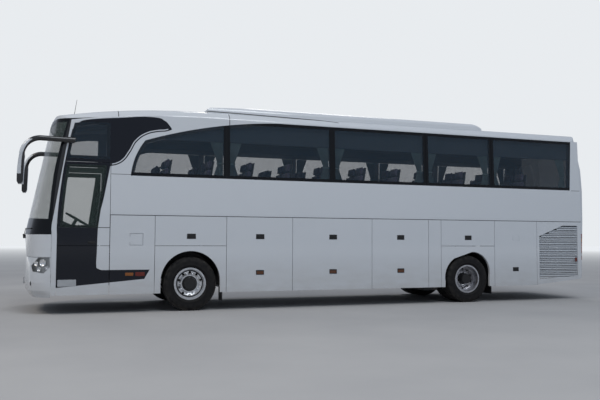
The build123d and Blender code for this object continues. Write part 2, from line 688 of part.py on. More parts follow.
def build_doors():
    leaf, pane = build_driver_door()
    front_x = STRIP_REAR_X - SEAM
    lug_x = STRIP_REAR_X - TOUCH
    lug = block(front_x - 2, lug_x, HALF_WIDTH - 10, HALF_WIDTH, HATCH_Z + 20, FASCIA_TOP_Z - 20)
    save("driver_door", leaf + lug, pane)
    low = block(DOOR_REAR_X + SEAM, front_x, HALF_WIDTH - DOOR, HALF_WIDTH, SKIRT_Z, HATCH_Z - 4)
    for z in (470, 1020):
        low += block(front_x - 2, lug_x, HALF_WIDTH - 10, HALF_WIDTH, z - 50, z + 50)
    save("driver_step_flap", low)
    # entrance door on the right: the same outline, full height, glazed above and below
    entrance = leaf + block(DOOR_REAR_X + SEAM, front_x, HALF_WIDTH - DOOR, HALF_WIDTH, SKIRT_Z, HATCH_Z + 10)
    entrance += leaf_lugs(ENTRANCE_ARM[0] - ENTRANCE_ARM[1])
    entrance = mirrored(entrance)
    save("entrance_door", entrance, mirrored(pane))
    # middle door
    x0, x1 = BAY_3_X + SEAM / 2, MIDDLE_DOOR_X1 - SEAM / 2
    middle = cross_prism(wall_section(SKIRT_Z, MIDDLE_DOOR_TOP_Z - 4, 0, DOOR), x0, x1)
    skin = cross_prism(wall_section(SKIRT_Z, MIDDLE_DOOR_TOP_Z, 0, GLASS), x0, x1)
    pane_view = Plane.XZ * Pos((x0 + x1) / 2, 1620) * RectangleRounded(x1 - x0 - 110, 1340, 60)
    pane_prism = Pos(0, OUT - 50, 0) * extrude(pane_view, amount=500)
    hole_view = Plane.XZ * Pos((x0 + x1) / 2, 1620) * RectangleRounded(x1 - x0 - 200, 1250, 40)
    hole_prism = Pos(0, OUT - 50, 0) * extrude(hole_view, amount=500)
    middle_pane = skin & pane_prism
    middle = middle - middle_pane - hole_prism
    middle += block(x0 + 20, x1 - 20, HALF_WIDTH - DOOR, HALF_WIDTH - 20, ARM_Z - 60, ARM_Z + 60)
    middle += leaf_lugs(MIDDLE_ARM[0] - MIDDLE_ARM[1])
    save("middle_door", mirrored(middle), mirrored(middle_pane))


# Swinging door arms: place of the post along the coach and reach of the arm
ARM_Y = HALF_WIDTH - DOOR - 36.0
ENTRANCE_ARM = (PILLAR_REAR_X - 70.0, 400.0)
MIDDLE_ARM = (MIDDLE_DOOR_X1 - 60.0, 480.0)
ARM_Z = 1150.0
ARM_R = 18.0
POST_H = 400.0
EYE_H = 60.0
STRIP_REAR_X = NOSE_X - 464.0 - PILLAR_STRIP


def leaf_lugs(x):
    # two ears on the leaf hold the arm's eye
    ears = None
    for z in (ARM_Z - EYE_H / 2 - TOUCH - 14, ARM_Z + EYE_H / 2 + TOUCH):
        ear = block(x - 22, x + 22, ARM_Y - 18, HALF_WIDTH - DOOR + 2, z, z + 14)
        ears = ear if ears is None else ears + ear
    return ears


def arm_bracket(x, x_wall):
    # shelf under the arm's post, fixed to the wall beside the doorway
    x0, x1 = sorted((x - 26, x_wall))
    z = ARM_Z - POST_H / 2 - TOUCH
    return block(x0, x1, ARM_Y - 26, HALF_WIDTH - WALL, z - 24, z)


def door_arm(x_post, reach):
    # swinging arm: a post on the body and a bar to the leaf's pivot
    post = Pos(x_post, ARM_Y, ARM_Z) * Cylinder(ARM_R, POST_H)
    bar = block(x_post - reach, x_post, ARM_Y - 10, ARM_Y + 10, ARM_Z - 20, ARM_Z + 20)
    eye = Pos(x_post - reach, ARM_Y, ARM_Z) * Cylinder(ARM_R, EYE_H)
    return post + bar + eye


def build_door_arms():
    save("entrance_door_arm", mirrored(door_arm(*ENTRANCE_ARM)))
    save("middle_door_arm", mirrored(door_arm(*MIDDLE_ARM)))


# Floors, stairs and luggage space
UPSTAND_T = 40.0
STAIR_RUN = 620.0
MIDDLE_STAIR_RUN = 900.0
PLATFORM_T = 40.0
AISLE_HALF_W = 260.0
AISLE_STEPS = 3
AISLE_STEP_RUN = 300.0
TREAD_T = 30.0
FRONT_WALL_T = 30.0
BULKHEAD_T = 20.0
WELL_EDGE = 30.0
CAB_WELL_EDGE = 40.0
STAIR_EDGE = 8.0
DECK_FRONT_X = FRONT_AXLE_X + 1125.0
FRONT_WALL_X = NOSE_X - 520.0


def stairs(x0, x1, y_out, y_in, z_low, z_high, steps):
    # a flight that climbs inboard from the door; treads and risers share one folded plate
    t = 24.0
    run = (y_in - y_out) / steps
    rise = (z_high - z_low) / steps
    flight = None
    for i in range(steps):
        z = z_low + rise * i
        ya, yb = sorted((y_out + run * i, y_out + run * (i + 1)))
        tread = block(x0, x1, ya, yb, z - t, z)
        yr = y_out + run * (i + 1)
        lean = t if run > 0 else -t
        ra, rb = sorted((yr - lean, yr))
        riser = block(x0, x1, ra, rb, z - t, z + rise)
        flight = tread + riser if flight is None else flight + tread + riser
    return flight


def build_deck(hw):
    # floor panels of the raised deck, laid round the middle stairwell and the steps of the aisle
    z0, z1 = DECK_Z - DECK_T, DECK_Z
    rear_x = TAIL_SIDE_X + 40
    well_x0, well_x1 = BAY_3_X + WELL_EDGE, MIDDLE_DOOR_X1 - WELL_EDGE
    steps_x = DECK_FRONT_X - AISLE_STEP_RUN * (AISLE_STEPS - 1)
    top_riser_x = steps_x - TREAD_T
    panels = [
        block(rear_x, well_x0 - TOUCH, -hw, hw, z0, z1),
        block(well_x0, well_x1, -hw + MIDDLE_STAIR_RUN + TOUCH, hw, z0, z1),
        block(well_x1 + TOUCH, top_riser_x - TOUCH, -hw, hw, z0, z1),
    ]
    panels += both_sides(block(top_riser_x, DECK_FRONT_X, AISLE_HALF_W + TOUCH, hw, z0, z1))
    # upstands that carry the seat rails along the walls
    up_z = DECK_Z + TOUCH
    up_x = DOOR_REAR_X - 30
    panels.append(block(rear_x, up_x, hw - UPSTAND_T, hw, up_z, LEAN_Z))
    panels.append(block(rear_x, BAY_3_X - 10, -hw, UPSTAND_T - hw, up_z, LEAN_Z))
    panels.append(block(MIDDLE_DOOR_X1 + 10, up_x, -hw, UPSTAND_T - hw, up_z, LEAN_Z))
    # front wall of the deck, open where the aisle's steps go down
    wall_x = DECK_FRONT_X + TOUCH
    panels += both_sides(
        block(wall_x, wall_x + FRONT_WALL_T, AISLE_HALF_W + TOUCH, hw, PLATFORM_Z - PLATFORM_T, DECK_Z)
    )
    return panels


def build_platform(hw):
    # low floor of the cab, laid round the entrance stairwell
    z0, z1 = PLATFORM_Z - PLATFORM_T, PLATFORM_Z
    edge = hw - 12
    well_x0, well_x1 = DOOR_REAR_X + CAB_WELL_EDGE, PILLAR_REAR_X - CAB_WELL_EDGE
    rear_x = DECK_FRONT_X + FRONT_WALL_T + 2 * TOUCH
    front_x = FRONT_WALL_X - TOUCH
    well_y = -hw + STAIR_RUN + TOUCH
    return [
        block(rear_x, well_x0 - TOUCH, -edge, edge, z0, z1),
        block(well_x0, front_x, well_y, edge, z0, z1),
        block(well_x1 + TOUCH, front_x, -edge, well_y - TOUCH, z0, z1),
    ]


def aisle_steps():
    # steps in the aisle from the cab floor up to the deck: treads and risers in one folded plate
    rise = (DECK_Z - PLATFORM_Z) / AISLE_STEPS
    half = AISLE_HALF_W
    # the lowest riser stands in line with the front wall of the deck
    edge_x = DECK_FRONT_X + TOUCH + FRONT_WALL_T
    flight = block(edge_x - FRONT_WALL_T, edge_x, -half, half, PLATFORM_Z - PLATFORM_T, PLATFORM_Z + rise)
    for i in range(1, AISLE_STEPS):
        top = PLATFORM_Z + rise * i
        riser_x = DECK_FRONT_X - AISLE_STEP_RUN * i
        flight += block(riser_x, edge_x, -half, half, top - TREAD_T, top)
        flight += block(riser_x - TREAD_T, riser_x, -half, half, top - TREAD_T, top + rise)
        edge_x = riser_x
    return flight


def build_floor():
    hw = HALF_WIDTH - WALL
    # front bulkhead below the windscreen
    bulkhead = block(FRONT_WALL_X, FRONT_WALL_X + BULKHEAD_T, -hw + 40, hw - 40, 420, PLATFORM_Z + 280)
    brackets = [
        mirrored(arm_bracket(ENTRANCE_ARM[0], FRONT_WALL_X - TOUCH)),
        mirrored(arm_bracket(MIDDLE_ARM[0], MIDDLE_DOOR_X1 + 20)),
    ]
    # carriers that reach the inner faces of the bumper and of the front panel
    carriers = []
    for z, heights in ((640, (560.0, BUMPER_TOP_Z)), (1120, (BUMPER_TOP_Z, FASCIA_TOP_Z))):
        inner_nose = stack(front_plan, heights, WALL + 2 * TOUCH, NOSE_X - 700)
        x0 = FRONT_WALL_X + BULKHEAD_T + TOUCH
        carriers.append(inner_nose & block(x0, NOSE_X, -600, 600, z - 40, z + 40))
    save("deck_and_platform", build_deck(hw), build_platform(hw), bulkhead, brackets, carriers)
    save("aisle_steps", aisle_steps())
    y_out = STAIR_EDGE - hw
    x0, x1 = DOOR_REAR_X + CAB_WELL_EDGE, PILLAR_REAR_X - CAB_WELL_EDGE
    save("entrance_stairs", stairs(x0, x1, y_out, STAIR_RUN - hw, 410, PLATFORM_Z, 3))
    x0, x1 = BAY_3_X + WELL_EDGE, MIDDLE_DOOR_X1 - WELL_EDGE
    save("middle_stairs", stairs(x0, x1, y_out, MIDDLE_STAIR_RUN - hw, BAY_FLOOR_Z, DECK_Z, 5))


def build_bays():
    hw = HALF_WIDTH - WALL
    t = 24.0
    floor = block(BAY_3_X, WHEEL_REAR_X - 60, -hw, hw, BAY_FLOOR_Z - BAY_FLOOR_T, BAY_FLOOR_Z)
    walls = []
    for x in (WHEEL_REAR_X - 60 - t, BAY_1_X, BAY_2_X, BAY_3_X):
        walls.append(block(x, x + t, -hw, hw, BAY_FLOOR_Z, DECK_Z - DECK_T))
    bays = floor
    for w in walls:
        bays += w
    # stairwell side of the middle door
    well_y = -hw + 920
    x1 = MIDDLE_DOOR_X1 + 20
    bays -= block(BAY_3_X + t, x1, -hw - 5, well_y, 300, DECK_Z)
    bays += block(BAY_3_X + t, x1 + t, well_y, well_y + t, BAY_FLOOR_Z - 60, DECK_Z - DECK_T)
    bays += block(x1, x1 + t, -hw, well_y, BAY_FLOOR_Z, DECK_Z - DECK_T)
    save("luggage_bays", bays)


RAIL_FRONT_Z = (560.0, 700.0)
CROSS_W = 60.0
POST_T = 50.0
OUTRIGGER_Y = 640.0
TAIL_POST_Y = HALF_WIDTH - 190.0
TANK_SIDE = 250.0
BOX_SIDE = 350.0
PILLAR_CROSS_X = FRONT_AXLE_X + 1045.0
TOW_Y = -430.0
TOW_Z = 480.0
TOW_R = 21.0
TOW_DEPTH = 130.0
TOW_FACE_X = NOSE_X - 60.0


def build_chassis():
    hw = HALF_WIDTH - WALL
    rear_z = (560.0, 700.0)
    spans = (
        (WHEEL_REAR_X - 60, FRONT_WALL_X, RAIL_FRONT_Z),
        (TAIL_X + 250, BAY_3_X, rear_z),
    )
    pieces = []
    for x0, x1, (z0, z1) in spans:
        pieces += both_sides(block(x0, x1, RAIL_Y - RAIL_W / 2, RAIL_Y + RAIL_W / 2, z0, z1))
    # cross members between the rails, with outriggers outside them; the long ones meet the posts
    # that carry the deck and the fixed panels
    post_y = hw - POST_T
    deck_low = DECK_Z - DECK_T
    long_x = (PILLAR_CROSS_X, BAY_3_X - 150, HATCH_REAR_X - 60, SERVICE_X + 30)
    cross = [(x, post_y) for x in long_x]
    cross += [(x, OUTRIGGER_Y) for x in (WHEEL_FRONT_X + 898, WHEEL_REAR_X - 30, FRONT_WALL_X - 165)]
    cross.append((TAIL_X + 280, TAIL_POST_Y))
    z0, z1 = RAIL_FRONT_Z[0] + 20, RAIL_FRONT_Z[1] - 20
    inner_y, outer_y = RAIL_Y - RAIL_W / 2 - TOUCH, RAIL_Y + RAIL_W / 2 + TOUCH
    for x, reach in cross:
        pieces.append(block(x - CROSS_W / 2, x + CROSS_W / 2, -inner_y, inner_y, z0, z1))
        pieces += both_sides(block(x - CROSS_W / 2, x + CROSS_W / 2, outer_y, reach - TOUCH, z0, z1))
    for x in long_x:
        pieces += both_sides(block(x - CROSS_W / 2, x + CROSS_W / 2, post_y, hw, 350, deck_low))
    # tail posts
    tail_x = TAIL_X + 250
    pieces += both_sides(block(tail_x, tail_x + CROSS_W, TAIL_POST_Y, TAIL_POST_Y + 40, 520, deck_low))
    # tanks and boxes hung under the rails, ahead of and behind the rear axle
    tank_z = rear_z[0] - TOUCH
    tank_y, box_y = HALF_WIDTH - TANK_SIDE, HALF_WIDTH - BOX_SIDE
    pieces.append(block(REAR_AXLE_X + 625, BAY_3_X - 20, -tank_y, tank_y, 260, tank_z))
    pieces.append(block(REAR_AXLE_X - 1300, REAR_AXLE_X - 700, -box_y, box_y, 330, tank_z))
    # towing socket behind a hole in the bumper
    tow_l = TOW_FACE_X - FRONT_WALL_X - BULKHEAD_T
    tow = Cylinder(36, tow_l) - Pos(0, 0, (tow_l - TOW_DEPTH) / 2) * Cylinder(TOW_R, TOW_DEPTH)
    tow = Pos(TOW_FACE_X - tow_l / 2, TOW_Y, TOW_Z) * Rot(0, 90, 0) * tow
    save("chassis_frame", pieces, tow)


def build_wheel_arches():
    # round liners behind the arch openings
    liners = []
    y_out = HALF_WIDTH - WALL
    hanger_y = HALF_WIDTH - 490.0
    for x, y_in in ((FRONT_AXLE_X, FRONT_TRACK_Y - 482.0), (REAR_AXLE_X, TWIN_INNER_Y - 188.0)):
        ring = Cylinder(LINER_R + LINER_T, y_out - y_in) - Cylinder(LINER_R, y_out - y_in)
        liner = Pos(x, (y_in + y_out) / 2, TYRE_R) * Rot(90, 0, 0) * ring
        liner &= block(x - 700, x + 700, y_in, y_out, TYRE_R - 40, 1300)
        side = Pos(x, y_in - LINER_T / 2, TYRE_R) * Rot(90, 0, 0) * Cylinder(LINER_R + LINER_T, LINER_T)
        side &= block(x - 700, x + 700, 0, y_out, TYRE_R + 210, 1300)
        # hanger from the deck
        hanger = block(x - 25, x + 25, hanger_y, hanger_y + 50, TYRE_R + LINER_R + 4, DECK_Z - DECK_T)
        liners += both_sides(liner + side + hanger)
    save("wheel_arches", liners)


def spun(points, y):
    # a profile of (radius, distance outboard) spun about the wheel's axle
    face = Plane.XY * outline(*points)
    return Pos(0, y, 0) * revolve(face, Axis.Y)


def tyre(y):
    w = TYRE_W / 2
    pts = [
        (RIM_SEAT_R, -w + 38), (RIM_R, -w + 38), (RIM_R, -w + 28), (RIM_R + 14, -w + 18), (390, -w),
        (440, -w + 4), (TYRE_R - 14, -w + 24), (TYRE_R, -w + 44), (TYRE_R, w - 44), (TYRE_R - 14, w - 24),
        (440, w - 4), (390, w), (RIM_R + 14, w - 18), (RIM_R, w - 28), (RIM_R, w - 38), (RIM_SEAT_R, w - 38),
    ]
    return spun(pts, y)


def rim(y, face_y, hub_y):
    # a disc wheel: barrel, flanges and a disc with hand holes; face_y is the disc's place
    w = TYRE_W / 2 - 38
    barrel = spun([(RIM_SEAT_R, -w), (RIM_R, -w), (RIM_R, -w - 10), (268, -w - 10), (262, -w + 30),
                   (262, w - 30), (268, w + 10), (RIM_R, w + 10), (RIM_R, w), (RIM_SEAT_R, w)], y)
    disc = spun([(262.5, face_y - 12), (262.5, face_y + 10), (215, face_y + 22), (165, hub_y + 10),
                 (HUB_BORE_R + 60, hub_y + 10), (HUB_BORE_R + 60, hub_y - 12), (150, hub_y - 12),
                 (205, face_y - 4)], y)
    for i in range(HAND_HOLES):
        a = radians(360.0 * i / HAND_HOLES)
        hole = Pos(210 * sin(a), y, 210 * cos(a)) * Rot(90, 0, 0) * Cylinder(24, 400)
        disc -= hole
    return barrel + disc


def build_wheels():
    # front wheels: the disc stands outboard
    ft = Pos(FRONT_AXLE_X, 0, TYRE_R) * tyre(FRONT_TRACK_Y)
    disc_y = 70.0
    fr = rim(FRONT_TRACK_Y, disc_y, disc_y - 14)
    drum = spun([(HUB_BORE_R, -55), (150, -55), (150, disc_y - 24), (HUB_BORE_R + 62, disc_y - 24),
                 (HUB_BORE_R + 62, disc_y + 8), (105, disc_y + 60), (0, disc_y + 60), (0, disc_y + 40),
                 (HUB_BORE_R, disc_y + 40)], FRONT_TRACK_Y)
    fr = Pos(FRONT_AXLE_X, 0, TYRE_R) * (fr + drum)
    save("front_left_tyre", ft)
    save("front_right_tyre", mirrored(ft))
    save("front_left_rim", fr)
    save("front_right_rim", mirrored(fr))
    # rear wheels: twin tyres, discs back to back, a hub that stands out through the outer rim
    rt = [tyre(TWIN_OUTER_Y), tyre(TWIN_INNER_Y)]
    rt = [Pos(REAR_AXLE_X, 0, TYRE_R) * t for t in rt]
    mid = (TWIN_OUTER_Y + TWIN_INNER_Y) / 2
    outer = rim(TWIN_OUTER_Y, -85, -130)
    inner = rim(TWIN_INNER_Y, 85, 130)
    drum = spun([(HUB_BORE_R, -150), (170, -150), (170, 60), (150, 90), (120, 100), (105, 250), (0, 250),
                 (0, 225), (HUB_BORE_R, 225)], mid)
    rr = Pos(REAR_AXLE_X, 0, TYRE_R) * (outer + inner + drum)
    save("rear_left_tyres", rt)
    save("rear_right_tyres", [mirrored(t) for t in rt])
    save("rear_left_rims", rr)
    save("rear_right_rims", mirrored(rr))


def build_axles():
    z = TYRE_R
    spindle_r = HUB_BORE_R - SPINDLE_CLEAR
    # front beam: dropped centre, ends carry the kingpins in forks
    beam_y = KINGPIN_Y - 100
    beam = block(FRONT_AXLE_X - 55, FRONT_AXLE_X + 55, -beam_y, beam_y, z - 90, z + 20)
    for side in (1, -1):
        seat_h = RAIL_FRONT_Z[0] - z
        beam += Pos(FRONT_AXLE_X, side * RAIL_Y, z + seat_h / 2) * Cylinder(80, seat_h)
        y0, y1 = sorted((side * (KINGPIN_Y - 160), side * KINGPIN_Y))
        fork = block(FRONT_AXLE_X - 46, FRONT_AXLE_X + 46, y0, y1, z - 120, z + 130)
        fork += Pos(FRONT_AXLE_X, side * KINGPIN_Y, z + 5) * Cylinder(46, 250)
        y0, y1 = sorted((side * (KINGPIN_Y - 80), side * (KINGPIN_Y + 140)))
        beam += fork - block(FRONT_AXLE_X - 80, FRONT_AXLE_X + 80, y0, y1, z - 80, z + 90)
    save("front_axle", beam)
    knuckle = Pos(FRONT_AXLE_X, KINGPIN_Y, z + 5) * Cylinder(42, 170 - 2 * TOUCH)
    spindle = Pos(FRONT_AXLE_X, (KINGPIN_Y + FRONT_TRACK_Y + 100) / 2, z) * Rot(90, 0, 0) * Cylinder(
        spindle_r, FRONT_TRACK_Y + 100 - KINGPIN_Y)
    steer_arm = block(FRONT_AXLE_X - 190, FRONT_AXLE_X, KINGPIN_Y - 22, KINGPIN_Y + 22, z - 60, z - 30)
    left = knuckle + spindle + steer_arm
    save("left_knuckle", left)
    save("right_knuckle", mirrored(left))
    # rear axle: tube, final drive housing and spindles inside the hubs
    tube = Pos(REAR_AXLE_X, 0, z) * Rot(90, 0, 0) * Cylinder(AXLE_TUBE_R, 2 * (TWIN_INNER_Y - 168))
    banjo = Pos(REAR_AXLE_X, 0, z) * Sphere(190)
    axle = tube + banjo
    mid = (TWIN_OUTER_Y + TWIN_INNER_Y) / 2
    for side in (1, -1):
        y0, y1 = side * (TWIN_INNER_Y - 188), side * (mid + 215)
        axle += Pos(REAR_AXLE_X, (y0 + y1) / 2, z) * Rot(90, 0, 0) * Cylinder(spindle_r, abs(y1 - y0))
        axle += Pos(REAR_AXLE_X, side * RAIL_Y, (z + 560) / 2) * Cylinder(90, 560 - z)
    save("rear_axle", axle)


ENGINE_HEADROOM = 170.0


def build_engine():
    top_z = DECK_Z - DECK_T - ENGINE_HEADROOM
    save("engine_block", block(TAIL_X + 380, TAIL_X + 1750, -420, 420, 700, top_z))


def build_roof_unit():
    # roof air unit: a long low housing whose tail rounds down
    view = make_face([
        Line((2745, 3700), (2745, 3822)),
        ThreePointArc((2745, 3822), (2720, 3846), (2660, 3856)),
        ThreePointArc((2660, 3856), (-300, 3954), (-2950, 3926)),
        ThreePointArc((-2950, 3926), (-3230, 3890), (-3410, 3790)),
        Line((-3410, 3790), (-3410, 3700)),
        Line((-3410, 3700), (2745, 3700)),
    ])
    body = side_prism(view, -1060, 1060)
    section = make_face([
        Line((-1070, 3690), (1070, 3690)),
        Line((1070, 3690), (1052, 3800)),
        ThreePointArc((1052, 3800), (1015, 3872), (940, 3900)),
        ThreePointArc((940, 3900), (0, 3956), (-940, 3900)),
        ThreePointArc((-940, 3900), (-1015, 3872), (-1052, 3800)),
        Line((-1052, 3800), (-1070, 3690)),
    ])
    body &= cross_prism(section, -3500, 2900)
    body = body - extrude(roof_section(-4000, 0), amount=MID_FRONT_X + 4000) - roof_front_space(0)
    save("roof_unit", body)


def build_mirrors():
    # arm out of the roof corner, curving down to a tall head
    y = HALF_WIDTH - 10
    path = Line((5160, y, 3068), (5740, y + 40, 3075)) + ThreePointArc(
        (5740, y + 40, 3075), (5945, y + 60, 2985), (6035, y + 70, 2790)
    )
    section = Plane(origin=(5160, y, 3068), x_dir=(0, 1, 0), z_dir=(1, 0, 0)) * Ellipse(34, 46)
    arm = sweep(section, path=path, transition=Transition.ROUND)
    foot = Pos(5262, y - 25, 3068) * Box(160, 80, 100)
    view = make_face([
        Line((5990, 2800), (6070, 2800)),
        ThreePointArc((6070, 2800), (6100, 2540), (6104, 2300)),
        Line((6104, 2300), (6084, 2262)),
        Line((6084, 2262), (6030, 2262)),
        Line((6030, 2262), (6005, 2300)),
        Line((6005, 2300), (5990, 2800)),
    ])
    head = side_prism(view, y - 40, y + 190)
    save("mirrors", both_sides(arm + head + foot - front_body(0)))


DRIVER_X = 4640.0
DRIVER_Y = HALF_WIDTH - 600.0
SEAT_IN_Y = 290.0
SEAT_OUT_Y = HALF_WIDTH - 130.0


def build_interior():
    # double seats: cushion, back and pedestal in one outline, with heights above the deck
    view = Pos(0, DECK_Z) * outline(
        (-60, 0), (300, 0), (300, 310), (420, 315), (425, 440), (20, 450), (-130, 1200), (-230, 1190),
        (-110, 390), (-60, 310),
    )
    seats = []
    rows = 11
    pitch = 800.0
    for i in range(rows):
        x = DECK_FRONT_X - 560 - pitch * i
        for side in (1, -1):
            if side < 0 and BAY_3_X - 450 < x < MIDDLE_DOOR_X1 + 300:
                continue
            y0, y1 = sorted((side * SEAT_IN_Y, side * SEAT_OUT_Y))
            seats.append(side_prism(Pos(x, 0) * view, y0, y1))
    save("passenger_seats", seats)
    driver = side_prism(Pos(DRIVER_X, PLATFORM_Z) * outline(
        (0, 0), (330, 0), (330, 350), (440, 355), (445, 470), (90, 480), (-20, 1230), (-110, 1220),
        (-30, 450), (0, 350),
    ), DRIVER_Y - 270, DRIVER_Y + 270)
    save("driver_seat", driver)
    dash = side_prism(Pos(FRONT_WALL_X, PLATFORM_Z) * outline(
        (0, 0), (0, 295), (235, 335), (155, 450), (-135, 590), (-305, 510), (-245, 380), (-105, 0),
    ), -350, HALF_WIDTH - 230)
    steering = Pos(FRONT_WALL_X - 385, DRIVER_Y, PLATFORM_Z + 630) * Rot(0, -30, 0)
    wheel = steering * Torus(225, 16)
    spoke = steering * Box(40, 440, 16)
    boss = steering * Cylinder(60, 40)
    column = Pos(FRONT_WALL_X - 315, DRIVER_Y, PLATFORM_Z + 530) * Rot(0, -30, 0) * Cylinder(30, 230)
    save("dashboard", dash + column + wheel + spoke + boss)
    wall_y = HALF_WIDTH - 100
    section = outline(
        (wall_y, 3180), (wall_y, 3540), (wall_y - 140, 3560), (wall_y - 430, 3400), (wall_y - 415, 3230)
    )
    racks = cross_prism(section, TAIL_SIDE_X + 100, 3900)
    racks &= cross_prism(wall_section(3100, 3560, WALL, WALL + 480), TAIL_SIDE_X + 100, 3900)
    save("parcel_racks", both_sides(racks))


def main():
    os.makedirs("parts", exist_ok=True)
    rear = build_upper_body()
    tail_lamps = build_tail(rear)
    head_lamps = build_nose()
    save("lamps", head_lamps, tail_lamps)
    save("wipers", build_wipers())
    build_skirts()
    build_flaps()
    save("left_engine_door", louvred_door())
    save("right_engine_door", mirrored(louvred_door()))
    build_doors()
    build_door_arms()
    build_floor()
    build_bays()
    build_chassis()
    build_wheel_arches()
    build_wheels()
    build_axles()
    build_engine()
    build_roof_unit()
    build_mirrors()
    build_interior()


main()
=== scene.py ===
import bpy
import bmesh
import json
import math
from mathutils import Matrix, Vector

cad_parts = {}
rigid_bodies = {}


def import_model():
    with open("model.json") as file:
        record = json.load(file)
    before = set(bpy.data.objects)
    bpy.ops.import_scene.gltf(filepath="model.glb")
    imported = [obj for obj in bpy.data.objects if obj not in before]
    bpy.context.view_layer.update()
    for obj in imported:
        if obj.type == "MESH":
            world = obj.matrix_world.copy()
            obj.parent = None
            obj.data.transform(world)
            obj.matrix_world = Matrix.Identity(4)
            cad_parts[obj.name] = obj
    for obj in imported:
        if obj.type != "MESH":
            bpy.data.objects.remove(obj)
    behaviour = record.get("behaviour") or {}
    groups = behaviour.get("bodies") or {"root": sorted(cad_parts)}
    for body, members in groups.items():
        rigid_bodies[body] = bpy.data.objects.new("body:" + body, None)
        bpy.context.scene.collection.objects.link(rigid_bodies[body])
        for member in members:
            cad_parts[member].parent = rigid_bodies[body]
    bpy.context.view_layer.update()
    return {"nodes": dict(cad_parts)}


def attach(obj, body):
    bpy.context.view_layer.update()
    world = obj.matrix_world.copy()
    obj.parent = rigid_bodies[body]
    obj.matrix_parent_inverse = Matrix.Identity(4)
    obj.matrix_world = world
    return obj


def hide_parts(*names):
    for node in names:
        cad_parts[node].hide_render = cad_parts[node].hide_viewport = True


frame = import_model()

nodes = frame["nodes"]
scene = bpy.context.scene

# places along the coach that several pieces use, in metres
coach = {
    "halfWidth": 1.25, "leanFrom": 1.81, "lean": 0.045,
    "frontAxleX": 3.075, "rearAxleX": -2.925, "axleZ": 0.5, "noseX": 5.985, "deckZ": 1.65,
    "dividers": (2.400, 0.222, -1.921, -3.565),
}


def sideAt(z):
    return coach["halfWidth"] - max(0.0, z - coach["leanFrom"]) * coach["lean"]


# camera

cameraPlan = {
    "place": (5.6205, 14.181, 1.371), "lens": 42.0,
    "yaw": 0.34795, "pitch": 0.05332, "roll": 0.00522,
}


def makeCamera(plan):
    yaw, pitch, roll = plan["yaw"], plan["pitch"], plan["roll"]
    ahead = Vector((-math.sin(yaw) * math.cos(pitch), -math.cos(yaw) * math.cos(pitch), math.sin(pitch)))
    right = ahead.cross(Vector((0, 0, 1))).normalized()
    up = right.cross(ahead)
    turnedRight = math.cos(roll) * right + math.sin(roll) * up
    turnedUp = -math.sin(roll) * right + math.cos(roll) * up
    data = bpy.data.cameras.new("photoCamera")
    data.lens = plan["lens"]
    data.sensor_width = 36.0
    data.clip_end = 200.0
    cam = bpy.data.objects.new("photoCamera", data)
    rows = Matrix((turnedRight, turnedUp, -ahead)).transposed().to_4x4()
    rows.translation = Vector(plan["place"])
    cam.matrix_world = rows
    scene.collection.objects.link(cam)
    scene.camera = cam


makeCamera(cameraPlan)
print("camera set")


# materials: a small helper that joins shader nodes

